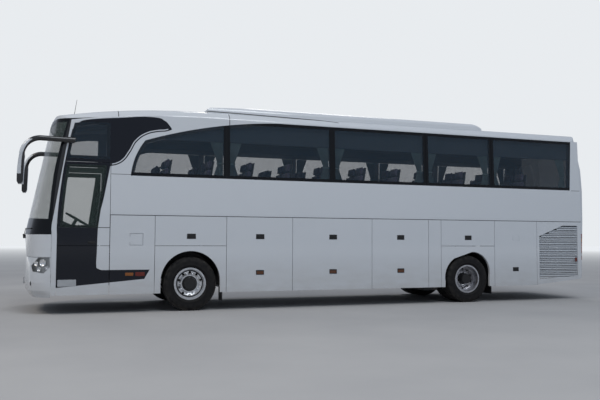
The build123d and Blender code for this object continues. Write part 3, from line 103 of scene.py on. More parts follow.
class Finish:
    def __init__(self, name, **inputs):
        self.material = bpy.data.materials.new(name)
        self.material.use_nodes = True
        self.tree = self.material.node_tree
        self.tree.nodes.clear()
        self.shader = self.tree.nodes.new("ShaderNodeBsdfPrincipled")
        out = self.tree.nodes.new("ShaderNodeOutputMaterial")
        self.tree.links.new(self.shader.outputs[0], out.inputs["Surface"])
        for key, value in inputs.items():
            self.set(key, value)
        self._xyz = None

    def set(self, key, value):
        socket = self.shader.inputs[key.replace("_", " ")]
        if isinstance(value, bpy.types.NodeSocket):
            self.tree.links.new(value, socket)
        else:
            socket.default_value = tuple(value) + (1.0,) if key == "Base_Color" and len(value) == 3 else value

    def feed(self, socket, value):
        if isinstance(value, bpy.types.NodeSocket):
            self.tree.links.new(value, socket)
        elif hasattr(value, "__len__") and len(value) == 3 and len(socket.default_value) == 4:
            socket.default_value = tuple(value) + (1.0,)
        else:
            socket.default_value = value

    def op(self, kind, a, b=None, c=None):
        node = self.tree.nodes.new("ShaderNodeMath")
        node.operation = kind
        for socket, value in zip(node.inputs, (a, b, c)):
            if value is not None:
                self.feed(socket, value)
        return node.outputs[0]

    def coords(self):
        if self._xyz is None:
            tex = self.tree.nodes.new("ShaderNodeTexCoord")
            split = self.tree.nodes.new("ShaderNodeSeparateXYZ")
            self.tree.links.new(tex.outputs["Object"], split.inputs[0])
            self._object = tex.outputs["Object"]
            self._xyz = tuple(split.outputs)
        return self._xyz

    def place(self, scale):
        # coordinates scaled along each axis
        self.coords()
        node = self.tree.nodes.new("ShaderNodeMapping")
        self.tree.links.new(self._object, node.inputs["Vector"])
        node.inputs["Scale"].default_value = scale
        return node.outputs[0]

    def noise(self, scale, detail, vector=None):
        node = self.tree.nodes.new("ShaderNodeTexNoise")
        self.coords()
        self.tree.links.new(vector or self._object, node.inputs["Vector"])
        node.inputs["Scale"].default_value = scale
        node.inputs["Detail"].default_value = detail
        return node.outputs[0]

    def ramp(self, value, low, high, outLow=0.0, outHigh=1.0):
        node = self.tree.nodes.new("ShaderNodeMapRange")
        node.clamp = True
        self.feed(node.inputs["Value"], value)
        for key, number in zip(("From Min", "From Max", "To Min", "To Max"), (low, high, outLow, outHigh)):
            node.inputs[key].default_value = number
        return node.outputs[0]

    def mix(self, share, a, b):
        node = self.tree.nodes.new("ShaderNodeMix")
        node.data_type = "RGBA"
        self.feed(node.inputs["Factor"], share)
        self.feed(node.inputs[6], a)
        self.feed(node.inputs[7], b)
        return node.outputs[2]

    def blend(self, share, a, b):
        node = self.tree.nodes.new("ShaderNodeMix")
        node.data_type = "FLOAT"
        self.feed(node.inputs["Factor"], share)
        self.feed(node.inputs[2], a)
        self.feed(node.inputs[3], b)
        return node.outputs[0]

    def bump(self, height, strength=0.2, distance=0.002):
        node = self.tree.nodes.new("ShaderNodeBump")
        node.inputs["Strength"].default_value = strength
        node.inputs["Distance"].default_value = distance
        self.feed(node.inputs["Height"], height)
        self.tree.links.new(node.outputs[0], self.shader.inputs["Normal"])

    def above(self, a, b, soft=0.003):
        # 1 where a is more than b, with a narrow soft edge
        return self.ramp(self.op("SUBTRACT", a, b), -soft, soft)

    def within(self, value, low, high, soft=0.003):
        return self.both(self.above(value, low, soft), self.above(high, value, soft))

    def gap(self, value, centre):
        return self.op("ABSOLUTE", self.op("SUBTRACT", value, centre))

    def line(self, value, centre, width):
        return self.ramp(self.gap(value, centre), width * 0.5, width, 1.0, 0.0)

    def mottle(self, scale, detail, share, a, b):
        # one colour with cloudy patches of another
        return self.mix(self.ramp(self.noise(scale, detail), 0.3, 0.7, 0.0, share), a, b)

    def curve(self, value, points):
        # y at this x on a line through the points
        xs, ys = [p[0] for p in points], [p[1] for p in points]
        x0, x1, y0, y1 = min(xs), max(xs), min(ys), max(ys)
        node = self.tree.nodes.new("ShaderNodeFloatCurve")
        self.feed(node.inputs["Value"], self.ramp(value, x0, x1))
        bend = node.mapping.curves[0]
        while len(bend.points) < len(points):
            bend.points.new(0.5, 0.5)
        for spot, (x, y) in zip(bend.points, sorted(points)):
            spot.location = ((x - x0) / (x1 - x0), (y - y0) / (y1 - y0))
            spot.handle_type = "AUTO"
        node.mapping.update()
        return self.op("MULTIPLY_ADD", node.outputs[0], y1 - y0, y0)

    def both(self, *shares):
        out = shares[0]
        for share in shares[1:]:
            out = self.op("MULTIPLY", out, share)
        return out

    def either(self, *shares):
        out = shares[0]
        for share in shares[1:]:
            out = self.op("MAXIMUM", out, share)
        return out

    def flip(self, share):
        return self.op("SUBTRACT", 1.0, share)


# outlines of the dark lacquer on the side, as x and z
lacquer = {
    "top": ((3.447, 3.366), (3.50, 3.445), (3.584, 3.523), (3.731, 3.575), (4.455, 3.523), (4.80, 3.485),
            (5.022, 3.444), (5.10, 3.40), (5.159, 3.317), (5.30, 3.22)),
    "low": ((3.447, 3.366), (3.55, 3.325), (3.70, 3.305), (3.897, 3.249), (4.073, 3.121), (4.200, 2.906),
            (4.318, 2.740), (4.42, 2.672), (4.533, 2.640)),
    "rear": ((0.770, 4.655), (0.790, 4.715), (0.832, 4.762), (1.10, 4.758), (1.556, 4.744), (2.10, 4.648),
             (2.691, 4.543)),
    "bottom": ((3.917, 0.605), (5.437, 0.470)),
    "tip": ((0.600, 3.925), (0.773, 3.828)),
    "stripRear": ((1.399, 5.436), (1.60, 5.437), (1.90, 5.417), (2.20, 5.390), (2.48, 5.360), (2.75, 5.318),
                  (3.10, 5.252), (3.451, 5.176)),
    "rearTipX": 3.447, "doorRearX": 4.533, "doorFrontX": 5.436,
    "overDoorZ": 2.632, "doorZ": (0.76, 2.70), "tailTopZ": 0.773,
    # light line inside the lower edge: its distances from the edge, and its ends
    "stripe": (0.022, 0.040), "stripeX": (3.52, 4.52),
}


def offsetLine(points, distance):
    # the same line moved square to itself
    moved = []
    for i, (x, z) in enumerate(points):
        a = points[max(0, i - 1)]
        b = points[min(len(points) - 1, i + 1)]
        dx, dz = b[0] - a[0], b[1] - a[1]
        size = math.hypot(dx, dz)
        moved.append((x - dz / size * distance, z + dx / size * distance))
    return tuple(moved)


# roofJoint also colours the painted shadow line along the foot of the roof unit on the roof shell, and
# unitFoot colours the painted shadow line on the unit itself
paint = {
    "white": (0.62, 0.655, 0.695), "lacquer": (0.006, 0.008, 0.014), "trim": (0.085, 0.088, 0.095),
    "dust": (0.33, 0.30, 0.26), "seam": (0.035, 0.037, 0.040), "roofJoint": (0.05, 0.05, 0.055),
    "unitFoot": (0.06, 0.062, 0.066), "ceiling": (0.20, 0.20, 0.20), "glassBorder": (0.006, 0.006, 0.007),
}


def lacquerMask(f):
    x, y, z = f.coords()
    behindStrip = f.above(f.curve(z, lacquer["stripRear"]), x)
    top = f.above(f.curve(x, lacquer["top"]), z)
    low = f.above(z, f.curve(x, lacquer["low"]))
    overDoor = f.both(f.above(x, lacquer["doorRearX"]), f.above(z, lacquer["overDoorZ"]))
    upper = f.both(f.either(low, overDoor), top, f.above(x, lacquer["rearTipX"]), behindStrip)
    overBottom = f.above(z, f.curve(x, lacquer["bottom"]))
    aheadOfRear = f.above(x, f.curve(z, lacquer["rear"]))
    door = f.both(aheadOfRear, f.within(z, *lacquer["doorZ"]), overBottom, behindStrip)
    aheadOfTip = f.above(x, f.curve(z, lacquer["tip"]))
    tail = f.both(aheadOfTip, f.above(lacquer["tailTopZ"], z), overBottom, f.above(lacquer["doorFrontX"], x))
    mask = f.either(upper, door, tail)
    near, far = [f.curve(x, offsetLine(lacquer["low"], distance)) for distance in lacquer["stripe"]]
    stripe = f.both(f.above(z, near, 0.002), f.above(far, z, 0.002), f.within(x, *lacquer["stripeX"]))
    return f.both(mask, f.flip(stripe))


def dusty(f, base):
    # road dust along the foot of the body
    x, y, z = f.coords()
    cloud = f.noise(3.0, 5.0, f.place((1.0, 1.0, 2.5)))
    height = f.ramp(z, 0.30, 1.05, 0.55, 0.0)
    return f.mix(f.op("MULTIPLY", cloud, height), base, paint["dust"])


bodyPlan = {
    # place and width of each seam line
    "waist": (1.7567, 0.0085), "frontJoint": (2.4945, 0.006), "rearJoint": (2.4700, 0.006),
    "sill": (1.5265, 0.008), "roofJoint": (2.345, 0.009), "browJoint": (4.42, 0.010),
    # where the seams end along the coach
    "waistEndX": 4.530, "frontJointX": (4.185, 4.534), "rearJointX": -5.700, "sillX": (4.543, 5.425),
    "middleDoorX": (-1.952, -1.208),
    # depth of the black border behind the glass, and of the trim inside the walls
    "borderDepth": (0.0065, 0.056), "borderEndX": -5.925, "trimEndX": 5.45,
    # lowest edge of the glass along the band, the cab and the middle door
    "bandGlassZ": 2.40, "cabGlassX": 4.50, "cabGlassZ": 1.515, "middleGlassZ": 0.93,
    # foot of the roof unit on the cornice, as x and z; a painted shadow line runs along it
    "unitFoot": ((0.02, 3.690), (0.14, 3.718), (0.48, 3.738), (0.88, 3.747), (1.50, 3.759), (1.92, 3.766),
                 (2.34, 3.773), (2.76, 3.776)),
    "unitFootX": (0.05, 2.74),
}


def dressSide(f, colour, rough):
    # dark lacquer, seams, black borders behind the glass and trim on the inner faces
    plan = bodyPlan
    x, y, z = f.coords()
    mask = lacquerMask(f)
    colour = f.mix(mask, colour, paint["lacquer"])
    rough = f.blend(mask, rough, 0.10)
    middleDoor = f.both(f.above(0.0, y), f.within(x, *plan["middleDoorX"], 0.001))
    waist = f.both(f.line(z, *plan["waist"]), f.above(plan["waistEndX"], x, 0.001), f.flip(middleDoor))
    frontJoint = f.both(f.line(z, *plan["frontJoint"]), f.within(x, *plan["frontJointX"]))
    rearJoint = f.both(f.line(z, *plan["rearJoint"]), f.above(plan["rearJointX"], x))
    roofJoint = f.both(f.line(x, *plan["roofJoint"]), f.above(z, 3.50))
    sill = f.both(f.line(z, *plan["sill"]), f.within(x, *plan["sillX"]))
    colour = f.mix(f.either(waist, frontJoint, rearJoint, roofJoint, sill), colour, paint["seam"])
    lean = f.op("MULTIPLY", f.op("MAXIMUM", f.op("SUBTRACT", z, coach["leanFrom"]), 0.0), coach["lean"])
    depth = f.op("SUBTRACT", f.op("SUBTRACT", coach["halfWidth"], lean), f.op("ABSOLUTE", y))
    cabGlass = f.both(f.above(x, plan["cabGlassX"]), f.above(z, plan["cabGlassZ"]))
    middleGlass = f.both(middleDoor, f.above(z, plan["middleGlassZ"]))
    glazed = f.either(f.above(z, plan["bandGlassZ"]), cabGlass, middleGlass)
    border = f.both(f.within(depth, *plan["borderDepth"], 0.0005), glazed, f.above(x, plan["borderEndX"]))
    colour = f.mix(border, colour, paint["glassBorder"])
    inside = f.both(f.above(depth, plan["borderDepth"][1]), f.above(plan["trimEndX"], x))
    f.set("Coat_Weight", f.blend(mask, 0.8, 0.12))
    f.set("Specular_IOR_Level", f.blend(mask, 0.5, 0.30))
    return f.mix(inside, colour, paint["trim"]), f.blend(inside, rough, 0.6)


def dressUnit(f, colour, rough):
    # shadow line at the foot of the roof unit
    x, y, z = f.coords()
    outside = f.above(f.op("ABSOLUTE", y), 0.90, 0.01)
    foot = f.both(f.line(z, f.curve(x, bodyPlan["unitFoot"]), 0.013), outside,
                  f.above(x, bodyPlan["unitFootX"][0]))
    return f.mix(foot, colour, paint["unitFoot"]), rough


def dressShell(f, colour, rough):
    # dull ceiling, cross joints of the roof, and a painted shadow line along the foot of the roof unit
    x, y, z = f.coords()
    geo = f.tree.nodes.new("ShaderNodeNewGeometry")
    split = f.tree.nodes.new("ShaderNodeSeparateXYZ")
    f.tree.links.new(geo.outputs["Normal"], split.inputs[0])
    ceiling = f.both(f.above(-0.15, split.outputs[2]), f.above(z, 3.2))
    colour = f.mix(ceiling, colour, paint["ceiling"])
    joints = f.either(f.line(x, *bodyPlan["browJoint"]), f.line(x, *bodyPlan["roofJoint"]))
    edge = f.both(f.above(f.op("ABSOLUTE", y), 0.95, 0.01), f.within(x, *bodyPlan["unitFootX"]))
    foot = f.both(f.line(z, f.curve(x, bodyPlan["unitFoot"]), 0.010), edge)
    # the painted shadow line at the unit's foot takes the colour of the roof joints
    return f.mix(f.either(f.both(joints, f.above(z, 3.55)), foot), colour, paint["roofJoint"]), rough


def makeBodyPaint(name, dress):
    f = Finish(name, Roughness=0.2, Coat_Weight=0.8, Coat_Roughness=0.05, Specular_IOR_Level=0.5)
    colour = f.mottle(0.8, 2.0, 0.25, paint["white"], tuple(c * 0.955 for c in paint["white"]))
    colour, rough = dress(f, dusty(f, colour), f.ramp(f.noise(40.0, 3.0), 0.2, 0.8, 0.16, 0.26))
    f.set("Base_Color", colour)
    f.set("Roughness", rough)
    f.bump(f.noise(220.0, 2.0), 0.03, 0.0006)
    return f.material


def makeGlass(name, colour, alpha, frit=None):
    f = Finish(name, Roughness=0.03, Specular_IOR_Level=0.6, Coat_Weight=0.6, Coat_Roughness=0.02)
    f.set("Alpha", alpha)
    streak = f.ramp(f.noise(1.4, 3.0, f.place((1.0, 1.0, 3.0))), 0.3, 0.8, 0.0, 0.06)
    base = f.mix(streak, colour, (0.25, 0.26, 0.27))
    if frit:
        mask = frit(f)
        base = f.mix(mask, base, (0.003, 0.004, 0.006))
        f.set("Alpha", f.blend(mask, alpha, 1.0))
        f.set("Specular_IOR_Level", f.blend(mask, 0.6, 0.25))
        f.set("Coat_Weight", f.blend(mask, 0.6, 0.1))
    f.set("Base_Color", base)
    f.bump(f.noise(2.2, 1.0), 0.05, 0.004)
    return f.material


def screenFrit(f):
    # black border printed round the windscreen, deep along its foot
    x, y, z = f.coords()
    foot = f.above(f.op("SUBTRACT", 1.70, f.op("MULTIPLY", f.op("MULTIPLY", y, y), 0.02)), z, 0.006)
    brow = f.above(z, 3.40, 0.006)
    side = f.curve(z, ((1.399, 5.521), (1.723, 5.523), (1.915, 5.502), (2.18, 5.483), (2.445, 5.456),
                       (2.712, 5.411), (2.981, 5.351), (3.321, 5.270), (3.461, 5.235)))
    return f.either(foot, brow, f.above(f.op("ADD", side, 0.055), x, 0.004))


def sideFrit(f):
    # black border along the foot and the head of the band, and over the window posts
    x, y, z = f.coords()
    foot = f.above(2.538, z, 0.002)
    head = f.above(z, 3.541, 0.002)
    posts = [f.ramp(f.gap(x, post), 0.060, 0.063, 1.0, 0.0) for post in coach["dividers"]]
    return f.both(f.either(foot, head, *posts), f.above(4.25, x))


def makeMirrorShell(name):
    # black arm; the outer and front sides of the drop are body colour down to the black foot
    f = Finish(name, Roughness=0.25, Coat_Weight=0.5, Coat_Roughness=0.08)
    x, y, z = f.coords()
    spine = f.curve(z, ((2.26, 6.035), (2.55, 6.040), (2.79, 6.020), (2.90, 5.985), (2.985, 5.930),
                        (3.05, 5.86)))
    outer = f.both(f.above(f.op("ABSOLUTE", y), 1.292, 0.004), f.above(x, spine))
    front = f.above(x, f.op("ADD", spine, 0.030))
    pale = f.both(f.either(outer, front), f.within(z, 2.43, 3.045))
    colour = f.mix(pale, (0.010, 0.010, 0.011), paint["white"])
    f.set("Base_Color", f.mottle(5.0, 2.0, 0.2, colour, (0.05, 0.05, 0.052)))
    f.bump(f.noise(160.0, 2.0), 0.05, 0.0003)
    return f.material


def makeTailLens(name):
    # red lens with an amber and a clear field, ribbed across
    f = Finish(name, Roughness=0.12, Coat_Weight=0.8, Coat_Roughness=0.04)
    x, y, z = f.coords()
    colour = f.mix(f.within(z, 1.290, 1.395), (0.26, 0.012, 0.010), (0.50, 0.16, 0.02))
    colour = f.mix(f.within(z, 0.965, 1.045), colour, (0.50, 0.50, 0.50))
    frames = f.either(*[f.line(z, level, 0.010) for level in (0.965, 1.045, 1.170, 1.290, 1.395)])
    colour = f.mix(frames, colour, (0.012, 0.010, 0.010))
    f.set("Base_Color", f.mottle(30.0, 2.0, 0.25, colour, (0.03, 0.006, 0.006)))
    f.bump(f.op("SINE", f.op("MULTIPLY", z, 900.0)), 0.35, 0.0012)
    return f.material


def makePlastic(name, colour, rough, grain=300.0, depth=0.0005):
    f = Finish(name, Roughness=rough, Specular_IOR_Level=0.4)
    f.set("Base_Color", f.mottle(6.0, 3.0, 0.4, colour, tuple(c * 1.35 for c in colour)))
    f.bump(f.noise(grain, 2.0), 0.25, depth)
    return f.material


def makeMetal(name, colour, rough, worn):
    f = Finish(name, Metallic=1.0, Roughness=rough)
    stain = f.ramp(f.noise(9.0, 4.0), 0.4, 0.8, 0.0, worn)
    f.set("Base_Color", f.mix(stain, colour, tuple(c * 0.45 for c in colour)))
    f.set("Roughness", f.ramp(f.noise(26.0, 4.0), 0.2, 0.8, rough * 0.8, rough * 1.4))
    f.bump(f.noise(180.0, 2.0), 0.08, 0.0004)
    return f.material


def makeChassisPaint(name, colour):
    f = Finish(name, Roughness=0.55)
    mud = f.ramp(f.noise(5.0, 6.0), 0.45, 0.75, 0.0, 0.7)
    f.set("Base_Color", f.mix(mud, colour, (0.16, 0.13, 0.10)))
    f.bump(f.noise(60.0, 4.0), 0.3, 0.0015)
    return f.material


def aroundAxle(f, axleX):
    # distance from the axle line and the angle round it
    x, y, z = f.coords()
    dx, dz = f.op("SUBTRACT", x, axleX), f.op("SUBTRACT", z, coach["axleZ"])
    squares = f.op("ADD", f.op("MULTIPLY", dx, dx), f.op("MULTIPLY", dz, dz))
    return f.op("SQRT", squares), f.op("ARCTAN2", dz, dx)


def makeRubber(name, axleX):
    f = Finish(name, Roughness=0.75, Specular_IOR_Level=0.25)
    radius, angle = aroundAxle(f, axleX)
    dust = f.ramp(radius, 0.40, 0.50, 0.06, 0.35)
    cloud = f.ramp(f.noise(14.0, 5.0), 0.35, 0.75)
    f.set("Base_Color", f.mix(f.op("MULTIPLY", dust, cloud), (0.008, 0.008, 0.009), (0.12, 0.108, 0.092)))
    rings = f.both(f.op("SINE", f.op("MULTIPLY", radius, 900.0)), f.within(radius, 0.33, 0.36))
    ribs = f.both(f.op("SINE", f.op("MULTIPLY", angle, 180.0)), f.within(radius, 0.455, 0.482))
    f.bump(f.op("ADD", rings, ribs), 0.5, 0.0012)
    return f.material


def makeRimAlloy(name, axleX, bright, hubRadius):
    f = Finish(name, Metallic=1.0)
    radius, angle = aroundAxle(f, axleX)
    brushed = f.noise(3.0, 2.0, f.place((120.0, 4.0, 120.0)))
    grime = f.both(f.ramp(f.noise(16.0, 5.0), 0.4, 0.8), f.ramp(radius, 0.16, 0.29, 0.2, 0.7))
    alloy = f.mix(grime, bright, tuple(c * 0.4 for c in bright))
    # black hub, and on the front wheels painted shade in the gap between the disc and the flange
    gap = f.both(f.line(radius, 0.241, 0.017), f.above(f.coords()[0], 0.0))
    hubAndShadowGap = f.either(f.above(hubRadius, radius, 0.002), gap)
    f.set("Base_Color", f.mix(hubAndShadowGap, alloy, (0.010, 0.010, 0.011)))
    f.set("Roughness", f.blend(hubAndShadowGap, f.ramp(brushed, 0.2, 0.8, 0.30, 0.46), 0.55))
    f.set("Metallic", f.flip(hubAndShadowGap))
    f.bump(brushed, 0.06, 0.0005)
    return f.material


def makeWeave(name, colour, accent, scale=260.0):
    f = Finish(name, Roughness=0.95, Sheen_Weight=0.4, Sheen_Roughness=0.5, Specular_IOR_Level=0.1)
    x, y, z = f.coords()
    warp = f.op("SINE", f.op("MULTIPLY", y, scale * 6.28))
    weft = f.op("SINE", f.op("MULTIPLY", f.op("ADD", z, x), scale * 6.28))
    fleck = f.ramp(f.noise(55.0, 2.0), 0.58, 0.66)
    worn = f.mottle(7.0, 3.0, 1.0, colour, tuple(c * 1.3 for c in colour))
    f.set("Base_Color", f.mix(fleck, worn, accent))
    f.bump(f.op("MULTIPLY", warp, weft), 0.35, 0.0008)
    return f.material


# each finish: the function that makes it, then its settings
finishPlan = {
    "sidePaint": (makeBodyPaint, dressSide),
    "shellPaint": (makeBodyPaint, dressShell),
    "unitPaint": (makeBodyPaint, dressUnit),
    "screenGlass": (makeGlass, (0.07, 0.10, 0.09), 0.30, screenFrit),
    "sideGlass": (makeGlass, (0.006, 0.026, 0.048), 0.31, sideFrit),
    "doorGlass": (makeGlass, (0.030, 0.060, 0.050), 0.24),
    "rearGlass": (makeGlass, (0.010, 0.012, 0.015), 0.80),
    "headLens": (makeGlass, (0.60, 0.64, 0.66), 0.12),
    "tailLens": (makeTailLens,),
    "mirrorShell": (makeMirrorShell,),
    "blackPlastic": (makePlastic, (0.014, 0.014, 0.015), 0.42),
    "rackLining": (makePlastic, (0.035, 0.055, 0.075), 0.8, 90.0),
    "dashPlastic": (makePlastic, (0.022, 0.023, 0.026), 0.6, 420.0),
    "floorVinyl": (makePlastic, (0.09, 0.10, 0.12), 0.65, 700.0),
    "seatShell": (makePlastic, (0.030, 0.030, 0.034), 0.55, 240.0),
    "amberLens": (makePlastic, (0.24, 0.085, 0.020), 0.25),
    "redLens": (makePlastic, (0.13, 0.020, 0.014), 0.2),
    "brownLens": (makePlastic, (0.10, 0.040, 0.020), 0.25),
    "plateWhite": (makePlastic, (0.36, 0.38, 0.40), 0.4),
    "bayLining": (makeMetal, (0.42, 0.43, 0.45), 0.45, 0.4),
    "nutSteel": (makeMetal, (0.62, 0.63, 0.65), 0.25, 0.3),
    "lampHousing": (makeMetal, (0.30, 0.31, 0.32), 0.40, 0.2),
    "lampChrome": (makeMetal, (0.86, 0.87, 0.88), 0.12, 0.1),
    "mirrorSilver": (makeMetal, (0.30, 0.32, 0.34), 0.04, 0.1),
    "chassisPaint": (makeChassisPaint, (0.02, 0.02, 0.022)),
    "castMetal": (makeChassisPaint, (0.07, 0.07, 0.075)),
    "frontRubber": (makeRubber, coach["frontAxleX"]),
    "rearRubber": (makeRubber, coach["rearAxleX"]),
    "frontAlloy": (makeRimAlloy, coach["frontAxleX"], (0.74, 0.75, 0.77), 0.143),
    "rearAlloy": (makeRimAlloy, coach["rearAxleX"], (0.60, 0.60, 0.62), 0.128),
    "seatCloth": (makeWeave, (0.095, 0.085, 0.130), (0.17, 0.14, 0.24)),
    "curtainCloth": (makeWeave, (0.11, 0.17, 0.18), (0.16, 0.23, 0.24), 420.0),
}
finishes = {name: maker(name, *settings) for name, (maker, *settings) in finishPlan.items()}


def paintNode(name, *materials):
    mesh = nodes[name].data
    mesh.materials.clear()
    for material in materials:
        mesh.materials.append(finishes[material])


def lineAt(points, at):
    # the second value on a line of pairs, at this first value
    for (a0, b0), (a1, b1) in zip(points, points[1:]):
        if at <= a1:
            return b0 + (b1 - b0) * (at - a0) / (a1 - a0)
    return points[-1][1]


panes = {
    "cab": {"low": 1.526, "high": 2.646, "rear": ((1.516, 4.748), (2.691, 4.598)),
            "front": tuple((z, x - 0.050) for z, x in lacquer["stripRear"])},
    "middle": {"low": 0.950, "high": 2.290, "rear": ((0.9, -1.891), (2.4, -1.891)),
               "front": ((0.9, -1.269), (2.4, -1.269))},
}


def paintPane(name, leafFinish, paneFinish, plan):
    # the pane of a door is flush with the leaf and lies in its outer 8 mm; the flange behind it stays painted
    paintNode(name, leafFinish, paneFinish)
    for poly in nodes[name].data.polygons:
        x, y, z = poly.center
        depth = sideAt(z) - abs(y)
        outward = poly.normal.y * (1 if y > 0 else -1)
        inside = plan["low"] < z < plan["high"] and lineAt(plan["rear"], z) < x < lineAt(plan["front"], z)
        flange = depth > 0.0075 and outward > 0.5
        poly.material_index = 1 if inside and depth < 0.009 and not flange else 0


def noseCorner(z):
    # centre and radius of the arc at the corner of the nose, at a height below the windscreen
    back = lineAt(((0.300, 0.100), (0.420, 0.020), (0.560, 0.0), (1.000, 0.035), (1.399, 0.0)), z)
    return coach["noseX"] - back - 4.5 + math.sqrt(4.08 ** 2 - 0.83 ** 2), 0.83, 0.42


def paintLamps(lens, housing, tail):
    # the outer skin of a head lamp is its lens, the walls behind it the housing
    paintNode("lamps", lens, housing, tail)
    for poly in nodes["lamps"].data.polygons:
        x, y, z = poly.center
        if x < 0:
            poly.material_index = 2
            continue
        cx, cy, radius = noseCorner(z)
        spoke = Vector((x - cx, abs(y) - cy, 0.0))
        facing = poly.normal.x * spoke.x + poly.normal.y * math.copysign(spoke.y, y)
        skin = spoke.length > radius - 0.006 and facing > 0.5 * spoke.length
        poly.material_index = 0 if skin else 1


plainFinishes = {
    "sidePaint": ("front_pillars", "left_side_wall", "right_side_wall", "skirt_panels", "fuel_flap",
                  "driver_step_flap"),
    "shellPaint": ("roof_shell", "rear_wall", "engine_lid", "front_bumper", "front_fascia"),
    "screenGlass": ("windscreen",),
    "sideGlass": ("side_glass",),
    "rearGlass": ("rear_window",),
    "blackPlastic": ("wipers", "wheel_arches"),
    "unitPaint": ("roof_unit",),
    "mirrorShell": ("mirrors",),
    "rackLining": ("parcel_racks",),
    "dashPlastic": ("dashboard",),
    "bayLining": ("luggage_bays",),
    "chassisPaint": ("chassis_frame", "entrance_door_arm", "middle_door_arm"),
    "castMetal": ("front_axle", "rear_axle", "left_knuckle", "right_knuckle", "engine_block"),
    "floorVinyl": ("deck_and_platform", "aisle_steps", "entrance_stairs", "middle_stairs"),
    "frontRubber": ("front_left_tyre", "front_right_tyre"),
    "rearRubber": ("rear_left_tyres", "rear_right_tyres"),
    "frontAlloy": ("front_left_rim", "front_right_rim"),
    "rearAlloy": ("rear_left_rims", "rear_right_rims"),
}
for finishName, members in plainFinishes.items():
    for member in members:
        paintNode(member, finishName)
for member in nodes:
    if member.endswith(("_hatch", "_service_door", "_engine_door")) or "luggage_door" in member:
        paintNode(member, "sidePaint")
paintPane("driver_door", "sidePaint", "doorGlass", panes["cab"])
paintPane("entrance_door", "sidePaint", "doorGlass", panes["cab"])
paintPane("middle_door", "sidePaint", "doorGlass", panes["middle"])
paintLamps("headLens", "lampHousing", "tailLens")
print("CAD nodes painted")


# geometry node trees for what repeats

class Growth:
    def __init__(self, name, inputs):
        self.group = bpy.data.node_groups.new(name, "GeometryNodeTree")
        self.ids = {}
        for key, value in inputs.items():
            kind = "Vector" if hasattr(value, "__len__") else "Int" if isinstance(value, int) else "Float"
            socket = self.group.interface.new_socket(key, in_out="INPUT", socket_type="NodeSocket" + kind)
            socket.default_value = value
            self.ids[key] = socket.identifier
        self.group.interface.new_socket("Geometry", in_out="OUTPUT", socket_type="NodeSocketGeometry")
        self.start = self.add("NodeGroupInput")
        self.end = self.add("NodeGroupOutput")

    def add(self, kind, **feeds):
        node = self.group.nodes.new(kind)
        for key, value in feeds.items():
            self.feed(node.inputs[key.replace("_", " ")], value)
        return node

    def feed(self, socket, value):
        if isinstance(value, bpy.types.NodeSocket):
            self.group.links.new(value, socket)
        else:
            socket.default_value = value

    def wants(self, key):
        return self.start.outputs[key]

    def close(self, points, part, rotation, turn, centre):
        placed = self.add("GeometryNodeInstanceOnPoints", Points=points, Instance=part)
        if rotation is not None:
            self.feed(placed.inputs["Rotation"], rotation)
        real = self.add("GeometryNodeRealizeInstances", Geometry=placed.outputs[0])
        moved = self.add("GeometryNodeTransform", Geometry=real.outputs[0], Rotation=turn, Translation=centre)
        self.coat = self.add("GeometryNodeSetMaterial", Geometry=moved.outputs[0])
        self.group.links.new(self.coat.outputs[0], self.end.inputs[0])


def growPiece(name, tree, values, finish, body):
    mesh = bpy.data.meshes.new(name + "Seed")
    seed = bpy.data.objects.new(name, mesh)
    scene.collection.objects.link(seed)
    modifier = seed.modifiers.new("growth", "NODES")
    modifier.node_group = tree.group
    for key, value in values.items():
        modifier[tree.ids[key]] = value
    tree.coat.inputs["Material"].default_value = finishes[finish]
    bpy.context.view_layer.update()
    grown = bpy.data.meshes.new_from_object(seed.evaluated_get(bpy.context.evaluated_depsgraph_get()))
    seed.modifiers.remove(modifier)
    seed.data = grown
    grown.name = name
    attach(seed, body)
    return seed


def makeRingTree():
    # round parts set in a ring, such as wheel nuts
    tree = Growth("ringOfRounds", {"count": 10, "ringRadius": 0.14, "sides": 6, "partRadius": 0.016,
                                   "partDepth": 0.03, "centre": (0.0, 0.0, 0.0), "turn": (0.0, 0.0, 0.0)})
    ring = tree.add("GeometryNodeMeshCircle", Vertices=tree.wants("count"), Radius=tree.wants("ringRadius"))
    part = tree.add("GeometryNodeMeshCylinder", Vertices=tree.wants("sides"), Radius=tree.wants("partRadius"),
                    Depth=tree.wants("partDepth"))
    tree.close(ring.outputs[0], part.outputs[0], None, tree.wants("turn"), tree.wants("centre"))
    return tree


def makeLugTree():
    # blocks round a wheel, each turned to face outwards
    tree = Growth("ringOfLugs", {"count": 64, "ringRadius": 0.49, "blockSize": (0.02, 0.02, 0.02),
                                 "centre": (0.0, 0.0, 0.0), "turn": (0.0, 0.0, 0.0)})
    ring = tree.add("GeometryNodeMeshCircle", Vertices=tree.wants("count"), Radius=tree.wants("ringRadius"))
    part = tree.add("GeometryNodeMeshCube", Size=tree.wants("blockSize"))
    index = tree.add("GeometryNodeInputIndex")
    step = tree.add("ShaderNodeMath")
    step.operation = "DIVIDE"
    step.inputs[0].default_value = 2 * math.pi
    tree.group.links.new(tree.wants("count"), step.inputs[1])
    angle = tree.add("ShaderNodeMath")
    angle.operation = "MULTIPLY"
    tree.group.links.new(index.outputs[0], angle.inputs[0])
    tree.group.links.new(step.outputs[0], angle.inputs[1])
    spin = tree.add("ShaderNodeCombineXYZ", Z=angle.outputs[0])
    toward = tree.add("FunctionNodeEulerToRotation", Euler=spin.outputs[0])
    tree.close(ring.outputs[0], part.outputs[0], toward.outputs[0], tree.wants("turn"), tree.wants("centre"))
    return tree


